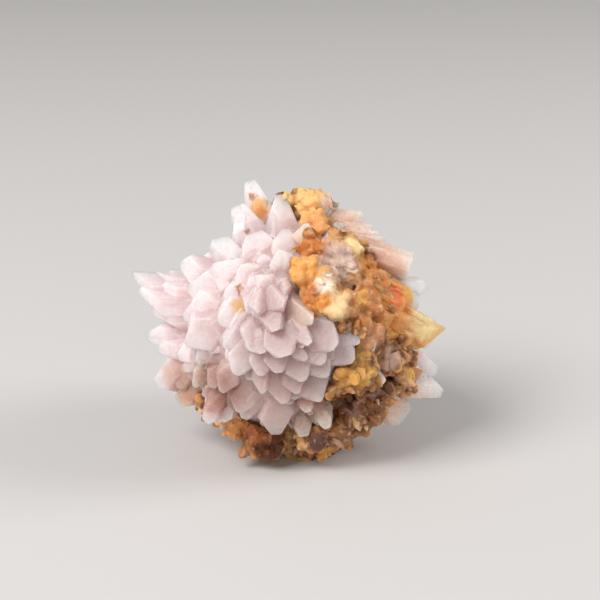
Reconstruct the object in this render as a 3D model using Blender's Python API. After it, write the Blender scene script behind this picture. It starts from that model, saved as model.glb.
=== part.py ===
"""A creedite ball: one grown cluster of flattened crystals that spray out of a lumpy core.

The ball rests on a small flat spot, whose middle is the origin. +X is the ball's right in its front
view, +Y points away from that view and +Z is up. The front view looks down on the ball by FRONT_PITCH.
Sizes are in millimetres and become metres where the mesh is made.
"""

import math
import random
from typing import NamedTuple

import bmesh
import bpy
from mathutils import Matrix, Quaternion, Vector, noise

MM = 0.001

# The front view, in which the crystals and lumps are placed
FRONT_PITCH = math.radians(20.0)
VIEW_DISTANCE = 154.0
MIDDLE = Vector((0.0, 0.0, 13.3))
RIGHT = Vector((1.0, 0.0, 0.0))
UP = Vector((0.0, math.sin(FRONT_PITCH), math.cos(FRONT_PITCH)))
TOWARD = Vector((0.0, -math.cos(FRONT_PITCH), math.sin(FRONT_PITCH)))

# The heart of the ball, which the crystals point away from, and the core around it
HEART = Vector((-0.6, -0.3, 12.2))
CORE_RADIUS = 7.4
CRUST_RISE = 2.0
CORE_ROUGHNESS = 0.6
CORE_GRAIN = 0.22
CORE_DETAIL = 2

# The lumps of crust under the core. The flat cut across them, at z = 0, is the spot that the ball rests on.
FOOT_LUMP_HEIGHT = 3.4
FOOT_LUMP_RADIUS = 5.0
FOOT_KNOBS = 10
FOOT_KNOB_RING = (2.9, 4.3)
FOOT_KNOB_HEIGHTS = (0.5, 2.6)
FOOT_KNOB_RADII = (1.5, 2.5)
FLOOR_SLAB = 40.0
LOWEST_TIP = 1.0

# A crystal's six-sided section and its narrow root
FLAT_SHARE = 0.62
ROOT_SCALE = 0.95
ROOT_DEPTH = 5.6
LOOSE_DEPTH = 1.5
BLUNT_SHARE = 0.12

# The crystals between the placed ones
FILL_COUNT = 195
FILL_SEED = 11
FILL_SWAY = 0.10
FILL_CLEARANCE = 0.21
FILL_REACH = (11.6, 13.6)
FILL_WIDTHS = (2.6, 3.8)
FILL_THICKNESS = (0.60, 0.80)
FILL_SKEW = 0.3
FILL_KEEN = (1.6, 2.8)
FILL_RIDGE = 0.3
FOOT_LIMIT = -0.90

# The ochre crust: where it lies, and what it does to the crystals that stand in it
CRUST_SIDE = Vector((0.80, -0.26, -0.10)).normalized()
CRUST_SIDE_EDGE = 0.42
CRUST_BELOW = Vector((0.20, 0.0, -1.0)).normalized()
CRUST_BELOW_EDGE = 0.76
CRUST_WANDER = 0.30
CRUST_WANDER_PITCH = 2.3
CRUST_WANDER_PHASE = Vector((4.1, 0.7, 2.9))
CRUST_FADE = 0.30
CRUST_DROP = 1.6
CRUST_THINS = 0.25
CRUST_KNOBS = 0.55

# How far the crystals between them may stand out beside the front view's axis, less in its upper left
RIM_REACH = 11.8
HOLLOW_DEPTH = 3.4
HOLLOW_WIDTH = 0.45
HOLLOW_SIDE = Vector((-0.74, 0.67)).normalized()
HOLLOW_FLANK = 1.5
LEAST_BESIDE = 0.1

# The crust's knobs
LUMP_SEED = 5
KNOB_DETAIL = 1
KNOB_ROUGHNESS = 0.55
KNOB_GRAIN = 1.9
KNOB_SQUAT = 0.15
KNOB_PER_WIDTH = 0.55
SMALL_KNOB = (0.40, 0.60)
SMALL_KNOB_REACH = (0.70, 0.95)
SMALL_KNOB_RISE = 0.25

LAVENDER = (0.78, 0.70, 0.74, 1.0)
OCHRE = (0.50, 0.26, 0.08, 1.0)


class Crystal(NamedTuple):
    """A crystal by its tip in the front view: mm right of, above and in front of the ball's middle.

    turn is in degrees about its axis and ridge is the length of its chisel edge. skew and lean shift that
    edge towards a narrow or a broad side. keen and bevel are how steeply its end slopes on those sides.
    shift moves the point that it grows from, off the heart, and depth is how far from there it starts.
    """

    across: float
    up: float
    toward: float
    width: float
    thick: float
    turn: float = 0.0
    ridge: float = 0.9
    skew: float = 0.0
    lean: float = 0.0
    keen: float = 2.2
    bevel: float = 1.9
    shift: tuple = (0.0, 0.0, 0.0)
    depth: float = ROOT_DEPTH


class Lump(NamedTuple):
    """A knob of crust by its centre in the front view, with its radius."""

    across: float
    up: float
    toward: float
    radius: float


CROWN = (
    Crystal(-4.2, 12.8, -3.0, 3.0, 1.9, ridge=0.9, skew=-0.25, keen=3.4),
    Crystal(-5.4, 10.4, 0.0, 4.1, 2.2, ridge=1.3, skew=-0.30, keen=3.3),
    Crystal(-7.0, 7.3, 1.8, 4.2, 2.2, ridge=1.3, skew=-0.25, keen=2.8),
    Crystal(-3.8, 7.7, 5.2, 4.0, 2.6, ridge=1.8, lean=0.4, keen=2.1),
    Crystal(-1.4, 11.4, 1.0, 3.9, 2.2, ridge=0.8, skew=-0.35, keen=3.4),
    Crystal(-0.9, 7.6, 6.4, 3.0, 2.0, turn=14.0, ridge=1.2, lean=0.3),
)

LEFT_FAN = (
    Crystal(-10.8, 4.7, 1.0, 3.6, 2.1, ridge=1.1, skew=0.25, keen=2.3),
    Crystal(-15.5, 3.7, 0.0, 4.2, 2.2, ridge=0.5, skew=0.55, keen=3.0),
    Crystal(-15.0, 2.0, 0.8, 3.4, 2.1, ridge=0.2, skew=0.50, keen=2.8, shift=(0.0, -1.2, 0.0)),
    Crystal(-13.7, 0.0, 0.6, 2.8, 1.9, ridge=0.3, skew=0.40, keen=2.6),
    Crystal(-13.1, -1.4, -0.6, 1.8, 1.6, ridge=0.3),
    Crystal(-14.1, -2.4, -0.4, 2.8, 1.9, ridge=0.8, keen=2.6),
    Crystal(-13.1, -3.7, 0.2, 2.8, 2.0, ridge=0.6, skew=0.30, keen=2.6),
    Crystal(-13.4, -6.9, -0.5, 4.4, 2.4, ridge=0.7, skew=-0.30, keen=2.8),
    Crystal(-11.1, -8.7, -0.6, 3.5, 2.2, ridge=1.2, skew=-0.2),
)

FRONT_LEFT = (
    Crystal(-10.3, -3.1, 6.0, 4.0, 2.5, ridge=0.9, lean=0.3, keen=2.1),
    Crystal(-9.3, -4.8, 5.0, 3.2, 2.0, ridge=0.8, keen=2.1),
    Crystal(-9.9, 2.1, 4.8, 3.4, 2.2, ridge=1.1, lean=0.3),
    Crystal(-10.4, -0.5, 4.4, 3.2, 2.1, ridge=1.0, lean=0.3),
    Crystal(-7.9, 4.3, 5.6, 3.3, 2.2, ridge=1.1, lean=0.3),
    Crystal(-6.9, -0.9, 9.0, 3.4, 2.2, turn=-20.0, ridge=1.1, lean=0.4),
    Crystal(-6.4, 1.8, 8.5, 3.1, 2.1, ridge=1.0, lean=0.4),
    Crystal(-5.4, 4.6, 7.8, 3.2, 2.2, turn=10.0, ridge=1.1, lean=0.4),
    Crystal(-9.6, -7.2, 3.2, 3.0, 2.0, ridge=0.9, keen=2.4),
)

PETALS = (
    Crystal(-3.8, -3.8, 9.9, 3.0, 2.2, ridge=1.4, lean=0.5, keen=1.6),
    Crystal(-0.7, -4.2, 10.7, 3.7, 2.5, ridge=1.9, lean=0.5, keen=1.4),
    Crystal(-1.3, -5.8, 9.6, 2.8, 2.0, ridge=1.3, lean=0.5, keen=1.6),
    Crystal(-5.5, -6.0, 8.4, 3.4, 2.2, ridge=1.4, lean=0.4, keen=1.6),
    Crystal(-3.1, -6.1, 9.0, 2.7, 2.0, ridge=1.2, lean=0.5, keen=1.6),
    Crystal(-6.9, -7.7, 6.6, 3.0, 2.0, ridge=1.0, lean=0.3, keen=1.9),
    Crystal(-5.1, -9.7, 5.6, 3.1, 2.1, ridge=1.5, lean=0.3, keen=1.6),
    Crystal(-2.9, -7.8, 8.2, 2.6, 1.9, turn=35.0, ridge=1.0, lean=0.4),
    Crystal(-1.6, -11.8, 4.8, 4.4, 2.6, ridge=1.9, skew=0.16, lean=0.3, keen=1.9),
    Crystal(-0.8, -8.8, 7.8, 3.6, 2.3, ridge=1.3, lean=0.4, keen=1.8),
    Crystal(2.7, -8.6, 8.0, 4.4, 2.5, ridge=0.6, lean=0.4, keen=1.3),
    Crystal(0.5, -7.8, 8.6, 2.6, 2.0, ridge=0.8, lean=0.3, keen=1.5),
    Crystal(5.9, -4.7, 8.5, 3.7, 2.4, ridge=1.2, lean=0.4, keen=1.3),
    Crystal(3.4, -6.2, 9.0, 2.7, 1.9, ridge=0.9, lean=0.3, keen=1.4),
    Crystal(6.5, -2.9, 8.6, 3.3, 2.2, ridge=0.7, lean=0.3, keen=1.6),
    Crystal(4.2, -3.3, 10.0, 3.9, 2.4, ridge=1.5, lean=0.5, keen=1.4),
    Crystal(3.0, -4.9, 9.7, 2.8, 2.0, ridge=1.1, lean=0.4, keen=1.5),
    Crystal(1.1, -6.6, 9.4, 3.0, 2.0, ridge=1.2, lean=0.4, keen=1.5),
    Crystal(2.0, -0.8, 10.8, 3.3, 2.2, turn=20.0, ridge=1.4, lean=0.5),
    Crystal(-3.6, 0.3, 10.8, 3.1, 2.1, turn=-14.0, ridge=1.3, lean=0.5),
    Crystal(-0.9, 0.9, 11.1, 3.1, 2.2, turn=10.0, ridge=1.4, lean=0.5),
    Crystal(-2.6, 3.6, 10.0, 3.1, 2.1, ridge=1.2, lean=0.5),
    Crystal(1.7, -3.0, 10.7, 2.6, 1.9, ridge=1.1, lean=0.5),
    Crystal(-6.6, -3.4, 8.7, 2.8, 1.9, turn=-30.0, ridge=1.0, lean=0.4),
    Crystal(-1.6, -1.7, 11.3, 2.7, 1.9, turn=6.0, ridge=1.2, lean=0.5),
)

RIGHT_BLADES = (
    Crystal(4.0, 10.7, -1.0, 2.4, 1.9, ridge=1.0, keen=1.8),
    Crystal(6.8, 8.9, -1.0, 2.8, 2.4, ridge=1.4, keen=1.2),
    Crystal(8.4, 7.3, -1.2, 2.2, 1.9, ridge=0.9),
    Crystal(9.4, 6.2, -0.6, 2.2, 1.9, ridge=0.9),
    Crystal(11.4, 4.4, 1.0, 3.4, 3.0, ridge=2.2, keen=0.7, bevel=0.3),
    Crystal(12.9, 2.3, -1.0, 2.4, 1.8, ridge=0.3, keen=2.6),
    Crystal(12.3, 1.1, 0.0, 2.9, 2.0, ridge=0.9),
    Crystal(14.7, -1.6, 1.0, 4.6, 3.0, ridge=0.2, keen=2.4, shift=(3.2, 3.2, 1.0), depth=LOOSE_DEPTH),
    Crystal(13.5, -2.8, 0.8, 3.0, 2.2, ridge=0.6, shift=(3.2, 2.0, 1.0), depth=LOOSE_DEPTH),
    Crystal(12.0, 0.3, 2.6, 3.2, 2.3, ridge=0.9, shift=(2.4, 3.6, 2.0), depth=LOOSE_DEPTH),
    Crystal(10.9, -1.2, 4.4, 3.4, 2.4, ridge=1.1, lean=0.3, shift=(2.4, 3.0, 2.6), depth=LOOSE_DEPTH),
    Crystal(9.2, 0.9, 6.0, 3.0, 2.2, ridge=1.0, lean=0.3, shift=(1.6, 3.4, 2.6), depth=LOOSE_DEPTH),
    Crystal(8.9, -2.3, 6.0, 2.9, 2.1, ridge=0.9, lean=0.3, shift=(1.6, 2.4, 2.6), depth=LOOSE_DEPTH),
    Crystal(13.9, -5.7, -1.5, 3.4, 2.2, ridge=0.8, skew=0.3),
    Crystal(14.4, -7.9, -1.9, 3.8, 2.4, ridge=0.8, skew=-0.4, keen=2.4),
    Crystal(10.8, -10.2, -2.2, 3.3, 2.5, ridge=1.8, keen=1.1),
    Crystal(8.9, -6.7, 6.0, 1.8, 1.5, ridge=0.5),
    Crystal(8.0, -3.2, 7.4, 2.0, 1.7, ridge=0.9),
    Crystal(1.5, -9.6, 7.0, 1.9, 1.5, ridge=0.6),
    Crystal(3.4, -11.2, 5.6, 2.0, 1.6, ridge=0.6),
    Crystal(1.1, -12.0, 4.6, 2.4, 1.8, ridge=0.8),
)

LUMPS = (
    Lump(0.9, 10.0, 0.0, 2.1),
    Lump(2.2, 10.4, -0.8, 1.8),
    Lump(-0.7, 10.4, -1.4, 1.2),
    Lump(2.1, 8.2, 3.0, 1.9),
    Lump(2.3, 6.0, 5.6, 1.9),
    Lump(1.0, 3.9, 8.2, 1.7),
    Lump(2.0, 1.2, 9.0, 1.6),
    Lump(4.8, 5.2, 6.0, 2.3),
    Lump(3.2, 2.9, 8.2, 1.6),
    Lump(4.6, 0.7, 8.4, 1.7),
    Lump(7.4, 4.5, 4.4, 2.0),
    Lump(5.0, -6.3, 7.0, 1.3),
    Lump(6.7, -6.3, 6.4, 1.4),
    Lump(6.6, -4.3, 7.0, 1.5),
    Lump(9.3, -4.3, 4.2, 1.8),
    Lump(10.4, -4.9, 1.6, 1.7),
    Lump(10.4, -6.3, 1.0, 1.6),
    Lump(7.2, -9.2, 3.0, 2.1),
    Lump(5.3, -10.6, 2.2, 2.1),
    Lump(3.3, -11.6, 1.8, 2.1),
    Lump(-2.7, -12.2, 2.2, 2.0),
    Lump(-7.3, -9.4, 0.4, 1.8),
    Lump(-5.4, -10.4, 1.4, 1.8),
    Lump(2.2, -12.0, 2.6, 1.6),
)


def placed(across, up, toward):
    """A point of the front view in the ball's own frame. What is nearer the eye looks larger there."""
    nearer = 1.0 - toward / VIEW_DISTANCE
    return MIDDLE + TOWARD * toward + (RIGHT * across + UP * up) * nearer


def crust_share(direction):
    """How far the ochre crust covers the ball in this direction, from 0 to 1."""
    inside = max(direction.dot(CRUST_SIDE) - CRUST_SIDE_EDGE, direction.dot(CRUST_BELOW) - CRUST_BELOW_EDGE)
    wander = CRUST_WANDER * noise.noise(direction * CRUST_WANDER_PITCH + CRUST_WANDER_PHASE)
    return min(max((inside + wander) / CRUST_FADE + 0.5, 0.0), 1.0)


def cut(bm, point, normal):
    """Takes away what lies beyond a plane, and closes the cut with one flat face."""
    found = bmesh.ops.bisect_plane(bm, geom=bm.verts[:] + bm.edges[:] + bm.faces[:], dist=1e-5,
                                   plane_co=point, plane_no=normal, clear_outer=True)
    rim = [item for item in found["geom_cut"] if isinstance(item, bmesh.types.BMEdge)]
    if rim:
        bmesh.ops.contextual_create(bm, geom=rim)


def crystal_mesh(shape, length):
    """A crystal that stands on its root along +Z, with its broad side along X.

    It is a flattened six-sided prism, narrower at its root, that four sloping planes cut to a chisel.
    """
    half_width, half_thick = 0.5 * shape.width, 0.5 * shape.thick
    flat = FLAT_SHARE * half_width
    outline = ((half_width, 0.0), (flat, half_thick), (-flat, half_thick),
               (-half_width, 0.0), (-flat, -half_thick), (flat, -half_thick))
    bm = bmesh.new()
    root = [bm.verts.new((x * ROOT_SCALE, y * ROOT_SCALE, 0.0)) for x, y in outline]
    top = [bm.verts.new((x, y, length)) for x, y in outline]
    bm.faces.new(reversed(root))
    bm.faces.new(top)
    for i in range(6):
        j = (i + 1) % 6
        bm.faces.new((root[i], root[j], top[j], top[i]))
    ridge_x, ridge_y = shape.skew * half_width, shape.lean * half_thick
    for side in (1.0, -1.0):
        end = Vector((ridge_x + side * 0.5 * shape.ridge, ridge_y, length))
        cut(bm, end, Vector((side * shape.keen, 0.0, 1.0)))
        blunt = Vector((0.0, side * BLUNT_SHARE * half_thick, 0.0))
        cut(bm, Vector((ridge_x, ridge_y, length)) + blunt, Vector((0.0, side * shape.bevel, 1.0)))
    return bm


def add_crystal(bm, start, tip, across, shape):
    """Sets a crystal with its root at start and its chisel edge at tip. across runs along its broad side."""
    axis = (tip - start).normalized()
    single = crystal_mesh(shape, (tip - start).length)
    along_x = (across - axis * across.dot(axis)).normalized()
    along_y = axis.cross(along_x)
    edge_offset = along_x * (shape.skew * 0.5 * shape.width) + along_y * (shape.lean * 0.5 * shape.thick)
    turn = Matrix((along_x, along_y, axis)).transposed().to_4x4()
    single.transform(Matrix.Translation(start - edge_offset) @ turn)
    mesh = bpy.data.meshes.new("crystal")
    single.to_mesh(mesh)
    single.free()
    bm.from_mesh(mesh)
    bpy.data.meshes.remove(mesh)


def add_placed(bm, crystal):
    """A crystal of the front view, whose direction it returns.

    Unturned, its broad side faces that view as far as its axis lets it.
    """
    tip = placed(crystal.across, crystal.up, crystal.toward)
    origin = HEART + RIGHT * crystal.shift[0] + UP * crystal.shift[1] + TOWARD * crystal.shift[2]
    axis = (tip - origin).normalized()
    across = axis.cross(TOWARD).normalized()
    across.rotate(Quaternion(axis, math.radians(crystal.turn)))
    add_crystal(bm, origin + axis * crystal.depth, tip, across, crystal)
    return (tip - HEART).normalized()


def spiral_directions(count):
    """Directions spread evenly over a sphere, along a spiral from its top to its bottom."""
    golden = math.pi * (3.0 - math.sqrt(5.0))
    for i in range(count):
        z = 1.0 - 2.0 * (i + 0.5) / count
        ring = math.sqrt(1.0 - z * z)
        yield Vector((ring * math.cos(golden * i), ring * math.sin(golden * i), z))


def open_reach(direction):
    """How far a crystal in this direction may reach, so that the ball keeps its outline in the front view."""
    beside = Vector((direction.dot(RIGHT), direction.dot(UP)))
    hollow = max(beside.normalized().dot(HOLLOW_SIDE) - 1.0 + HOLLOW_WIDTH, 0.0) / HOLLOW_WIDTH
    rim = RIM_REACH - HOLLOW_DEPTH * min(HOLLOW_FLANK * hollow, 1.0)
    return rim / max(beside.length, LEAST_BESIDE)


def add_fill(crystals, knobs, taken):
    """Fills every direction that the placed crystals and lumps leave free.

    A crystal stands there, stubby in the crust, or in the crust as often a knob.
    """
    chance = random.Random(FILL_SEED)
    for direction in spiral_directions(FILL_COUNT):
        sway = Vector([chance.uniform(-FILL_SWAY, FILL_SWAY) for _ in range(3)])
        direction = (direction + sway).normalized()
        width, share = chance.uniform(*FILL_WIDTHS), chance.uniform(*FILL_THICKNESS)
        turn, skew = chance.uniform(0.0, 180.0), chance.uniform(-FILL_SKEW, FILL_SKEW)
        keen, reach, lot = chance.uniform(*FILL_KEEN), chance.uniform(*FILL_REACH), chance.random()
        if direction.z < FOOT_LIMIT or any(direction.angle(other) < FILL_CLEARANCE for other in taken):
            continue
        crust = crust_share(direction)
        if lot < CRUST_KNOBS * crust:
            knob_centre = HEART + direction * (CORE_RADIUS + 0.5 * width)
            add_knob(knobs, knob_centre, direction, KNOB_PER_WIDTH * width)
            continue
        tip = HEART + direction * min(reach - CRUST_DROP * crust, open_reach(direction))
        width *= 1.0 - CRUST_THINS * crust
        shape = Crystal(0.0, 0.0, 0.0, width, share * width, ridge=FILL_RIDGE * width, skew=skew, keen=keen)
        across = Vector((0.0, 0.0, 1.0)).cross(direction).normalized()
        across.rotate(Quaternion(direction, math.radians(turn)))
        if tip.z > LOWEST_TIP:
            add_crystal(crystals, HEART + direction * ROOT_DEPTH, tip, across, shape)


def add_core(bm):
    """The lumpy middle, which stands out further where the crust lies."""
    core = bmesh.ops.create_icosphere(bm, subdivisions=CORE_DETAIL, radius=1.0)
    for vert in core["verts"]:
        direction = vert.co.normalized()
        grain = CORE_ROUGHNESS * noise.noise(direction / CORE_GRAIN)
        vert.co = HEART + direction * (CORE_RADIUS + CRUST_RISE * crust_share(direction) + grain)
    for face in bm.faces:
        face.material_index = int(crust_share((face.calc_center_median() - HEART).normalized()) > 0.5)


def add_knob(bm, centre, outward, radius):
    """A knob of flat facets, a little squat, with each corner in or out by chance."""
    knob = bmesh.ops.create_icosphere(bm, subdivisions=KNOB_DETAIL, radius=1.0)
    for vert in knob["verts"]:
        out = 1.0 + KNOB_ROUGHNESS * noise.noise(vert.co * KNOB_GRAIN + centre)
        spot = vert.co.normalized() * radius * out
        vert.co = centre + spot - outward * KNOB_SQUAT * spot.dot(outward)


def add_lumps(bm):
    """The crust's placed knobs, each with a smaller one against it."""
    chance = random.Random(LUMP_SEED)
    for lump in LUMPS:
        centre = placed(lump.across, lump.up, lump.toward)
        outward = (centre - HEART).normalized()
        add_knob(bm, centre, outward, lump.radius)
        side = outward.orthogonal().normalized()
        side.rotate(Quaternion(outward, chance.uniform(0.0, math.tau)))
        reach = lump.radius * chance.uniform(*SMALL_KNOB_REACH)
        small_centre = centre + (side + outward * SMALL_KNOB_RISE) * reach
        add_knob(bm, small_centre, outward, lump.radius * chance.uniform(*SMALL_KNOB))


def add_foot(bm):
    """The lumps under the core, which reach below the flat spot until it is cut."""
    chance = random.Random(LUMP_SEED)
    add_knob(bm, Vector((0.0, 0.0, FOOT_LUMP_HEIGHT)), Vector((0.0, 0.0, -1.0)), FOOT_LUMP_RADIUS)
    for i in range(FOOT_KNOBS):
        angle = math.tau * (i + chance.uniform(-0.3, 0.3)) / FOOT_KNOBS
        outward = Vector((math.cos(angle), math.sin(angle), 0.0))
        centre = outward * chance.uniform(*FOOT_KNOB_RING)
        centre.z = chance.uniform(*FOOT_KNOB_HEIGHTS)
        add_knob(bm, centre, outward, chance.uniform(*FOOT_KNOB_RADII))


def floor_slab():
    """A slab under z = 0, which cuts the flat spot."""
    slab = bmesh.new()
    bmesh.ops.create_cube(slab, size=FLOOR_SLAB)
    bmesh.ops.translate(slab, vec=(0.0, 0.0, -0.5 * FLOOR_SLAB), verts=slab.verts)
    for face in slab.faces:
        face.material_index = 1
    return as_object("floor_slab", slab, ())


def as_object(name, bm, materials):
    """A mesh object in metres from a mesh in millimetres."""
    bmesh.ops.scale(bm, vec=(MM, MM, MM), verts=bm.verts)
    mesh = bpy.data.meshes.new(name)
    bm.to_mesh(mesh)
    bm.free()
    for material in materials:
        mesh.materials.append(material)
    thing = bpy.data.objects.new(name, mesh)
    bpy.context.scene.collection.objects.link(thing)
    return thing


def finish_material(name, colour, roughness):
    """A plain material of one colour."""
    material = bpy.data.materials.new(name)
    material.use_nodes = True
    shader = material.node_tree.nodes["Principled BSDF"]
    shader.inputs["Base Color"].default_value = colour
    shader.inputs["Roughness"].default_value = roughness
    shader.inputs["Metallic"].default_value = 0.0
    return material


def shells_of(bm):
    """The vertices of each separate closed surface."""
    left = set(bm.verts)
    while left:
        first = left.pop()
        shell, front = {first}, [first]
        while front:
            for edge in front.pop().link_edges:
                for vert in edge.verts:
                    if vert in left:
                        left.discard(vert)
                        shell.add(vert)
                        front.append(vert)
        yield shell


def close_pockets(mesh):
    """Fills the hollows that crystals shut in between them, whose walls face inwards."""
    bm = bmesh.new()
    bm.from_mesh(mesh)
    for shell in list(shells_of(bm)):
        faces = {face for vert in shell for face in vert.link_faces}
        volume = sum(face.calc_center_median().dot(face.normal) * face.calc_area() for face in faces)
        if volume < 0.0:
            bmesh.ops.delete(bm, geom=list(shell), context="VERTS")
    bmesh.ops.triangulate(bm, faces=bm.faces)
    bm.to_mesh(mesh)
    bm.free()


def grow(ball, others):
    """Joins the ball to one object, takes another from it, and clears both away."""
    for thing, operation in others:
        thing.hide_render = True
        thing.display_type = "WIRE"
        step = ball.modifiers.new(thing.name, "BOOLEAN")
        step.operation = operation
        step.solver = "EXACT"
        step.use_self = operation == "UNION"
        step.object = thing
    grown = bpy.data.meshes.new_from_object(ball.evaluated_get(bpy.context.evaluated_depsgraph_get()))
    ball.modifiers.clear()
    ball.data = grown
    for thing, _ in others:
        bpy.data.objects.remove(thing, do_unlink=True)
    close_pockets(grown)


def main():
    """Builds the ball."""
    for thing in list(bpy.data.objects):
        bpy.data.objects.remove(thing, do_unlink=True)
    finishes = [finish_material("lavender_crystal", LAVENDER, 0.25),
                finish_material("ochre_crust", OCHRE, 0.75)]
    core = bmesh.new()
    add_core(core)
    ball = as_object("creedite_ball", core, finishes)

    groups = (CROWN, LEFT_FAN, FRONT_LEFT, PETALS, RIGHT_BLADES)
    crystals, knobs = bmesh.new(), bmesh.new()
    taken = [add_placed(crystals, crystal) for group in groups for crystal in group]
    taken += [(placed(lump.across, lump.up, lump.toward) - HEART).normalized() for lump in LUMPS]
    add_foot(knobs)
    add_lumps(knobs)
    add_fill(crystals, knobs, taken)
    for face in knobs.faces:
        face.material_index = 1
    crust = bpy.data.meshes.new("crust")
    knobs.to_mesh(crust)
    crystals.from_mesh(crust)
    grow(ball, ((as_object("crystals", crystals, finishes), "UNION"), (floor_slab(), "DIFFERENCE")))


main()
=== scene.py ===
"""The looks of a creedite ball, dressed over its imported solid.

Crystals and knobs of crust are placed in the ball's front view, and seeded rules grow the rest round them.
Sizes are in millimetres until a mesh is made in metres. +X is the ball's right in its front view, +Y points
away from that view and +Z is up. The origin is the middle of the flat spot that the ball rests on.
"""

import logging
import math
import random
from collections.abc import Callable, Iterator, Sequence
from dataclasses import dataclass, field, replace
from enum import Enum
from functools import partial
from typing import Any

import bmesh
import bpy
import numpy as np
from mathutils import Matrix, Quaternion, Vector, noise
from mathutils.bvhtree import BVHTree


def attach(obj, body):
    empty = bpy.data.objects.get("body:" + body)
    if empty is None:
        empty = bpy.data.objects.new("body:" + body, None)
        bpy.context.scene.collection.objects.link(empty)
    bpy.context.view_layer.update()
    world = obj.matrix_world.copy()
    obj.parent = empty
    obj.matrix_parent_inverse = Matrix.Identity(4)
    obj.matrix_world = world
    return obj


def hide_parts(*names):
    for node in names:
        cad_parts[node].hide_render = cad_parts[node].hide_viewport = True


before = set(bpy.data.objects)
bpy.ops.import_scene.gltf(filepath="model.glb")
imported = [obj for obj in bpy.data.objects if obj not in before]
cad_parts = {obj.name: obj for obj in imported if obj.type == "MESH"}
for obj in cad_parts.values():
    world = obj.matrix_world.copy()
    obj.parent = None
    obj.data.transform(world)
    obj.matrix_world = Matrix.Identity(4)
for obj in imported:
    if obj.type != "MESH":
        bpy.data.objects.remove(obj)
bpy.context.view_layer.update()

MM = 0.001
PER_METRE = 1.0 / MM
BODY = "root"
NODE = "creedite_ball"

log = logging.getLogger("creedite_ball")

Span = tuple[float, float]
Triple = tuple[float, float, float]
Colour = tuple[float, float, float, float]


def paint(red: int, green: int, blue: int) -> Colour:
    """A colour as a painter mixes it, from 0 to 255 a channel, turned to the linear values of a shader.

    Args:
        red: the red share.
        green: the green share.
        blue: the blue share.

    Returns:
        The linear colour, fully opaque.
    """
    shares = (channel / 255.0 for channel in (red, green, blue))
    linear = [share / 12.92 if share <= 0.04045 else ((share + 0.055) / 1.055) ** 2.4 for share in shares]
    return (linear[0], linear[1], linear[2], 1.0)


def added(name: str, data: bpy.types.ID) -> bpy.types.Object:
    """A new object in the scene.

    Args:
        name: what it is called.
        data: its mesh, camera or light.

    Returns:
        The object.
    """
    thing = bpy.data.objects.new(name, data)
    bpy.context.scene.collection.objects.link(thing)
    return thing


def settle(thing: bpy.types.Object) -> None:
    """Turns an object's mesh and modifiers into one plain mesh.

    Args:
        thing: the object.
    """
    graph = bpy.context.evaluated_depsgraph_get()
    result = bpy.data.meshes.new_from_object(thing.evaluated_get(graph))
    thing.modifiers.clear()
    thing.data = result
    result.name = thing.name


# The front view


@dataclass(frozen=True)
class FrontView:
    """The view in which the crystals are placed, and the camera that sees it.

    The eye looks down by pitch. Crystals are placed as it sees them from a distance of sight, and the camera
    stands at eye_distance from the point that it aims at. What is nearer than nearest isn't seen.
    """

    pitch: float = math.radians(20.0)
    sight: float = 154.0
    middle: Triple = (0.0, 0.0, 13.3)
    eye_distance: float = 153.8
    aim: Triple = (0.67, 0.0, 14.56)
    lens: float = 96.0
    sensor: float = 36.0
    nearest: float = 10.0

    @property
    def right(self) -> Vector:
        """The direction that runs to the right in the view."""
        return Vector((1.0, 0.0, 0.0))

    @property
    def up(self) -> Vector:
        """The direction that runs up in the view."""
        return Vector((0.0, math.sin(self.pitch), math.cos(self.pitch)))

    @property
    def toward(self) -> Vector:
        """The direction from the ball to the eye."""
        return Vector((0.0, -math.cos(self.pitch), math.sin(self.pitch)))

    def point(self, across: float, up: float, toward: float) -> Vector:
        """A point of the view in the ball's own frame. What is nearer the eye looks larger there.

        Args:
            across: millimetres right of the ball's middle, as they look at the middle's distance.
            up: millimetres above it.
            toward: millimetres in front of it.

        Returns:
            The point, in millimetres.
        """
        nearer = 1.0 - toward / self.sight
        return Vector(self.middle) + self.toward * toward + (self.right * across + self.up * up) * nearer

    def camera(self) -> None:
        """Makes the camera of the view and gives it to the scene."""
        data = bpy.data.cameras.new("front_view")
        data.lens, data.sensor_width = self.lens, self.sensor
        data.clip_start = self.nearest * MM
        camera = added("front_view", data)
        camera.location = (Vector(self.aim) + self.toward * self.eye_distance) * MM
        camera.rotation_euler = (-self.toward).to_track_quat("-Z", "Y").to_euler()
        bpy.context.scene.camera = camera


VIEW = FrontView()
HEART = Vector((-0.6, -0.3, 12.2))
FLOOR_GAP = 0.4


# Node trees


class Wire:
    """A value in a node tree. Python's operators on it add the Math nodes that work the result out."""

    def __init__(self, graph: "Graph", socket: bpy.types.NodeSocket) -> None:
        """Holds an output socket with the graph that it belongs to."""
        self.graph = graph
        self.socket = socket

    def _math(self, operation: str, *values: Any) -> "Wire":
        """A Math node's result."""
        names = ("Value", "Value_001", "Value_002")
        return self.graph.value("ShaderNodeMath", {"operation": operation}, dict(zip(names, values)))

    def __add__(self, other: Any) -> "Wire":
        """This value plus another."""
        return self._math("ADD", self, other)

    def __radd__(self, other: Any) -> "Wire":
        """A number plus this value."""
        return self._math("ADD", other, self)

    def __sub__(self, other: Any) -> "Wire":
        """This value less another."""
        return self._math("SUBTRACT", self, other)

    def __rsub__(self, other: Any) -> "Wire":
        """A number less this value."""
        return self._math("SUBTRACT", other, self)

    def __mul__(self, other: Any) -> "Wire":
        """This value times another."""
        return self._math("MULTIPLY", self, other)

    def __rmul__(self, other: Any) -> "Wire":
        """A number times this value."""
        return self._math("MULTIPLY", other, self)

    def __rtruediv__(self, other: Any) -> "Wire":
        """A number shared out by this value."""
        return self._math("DIVIDE", other, self)


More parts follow.
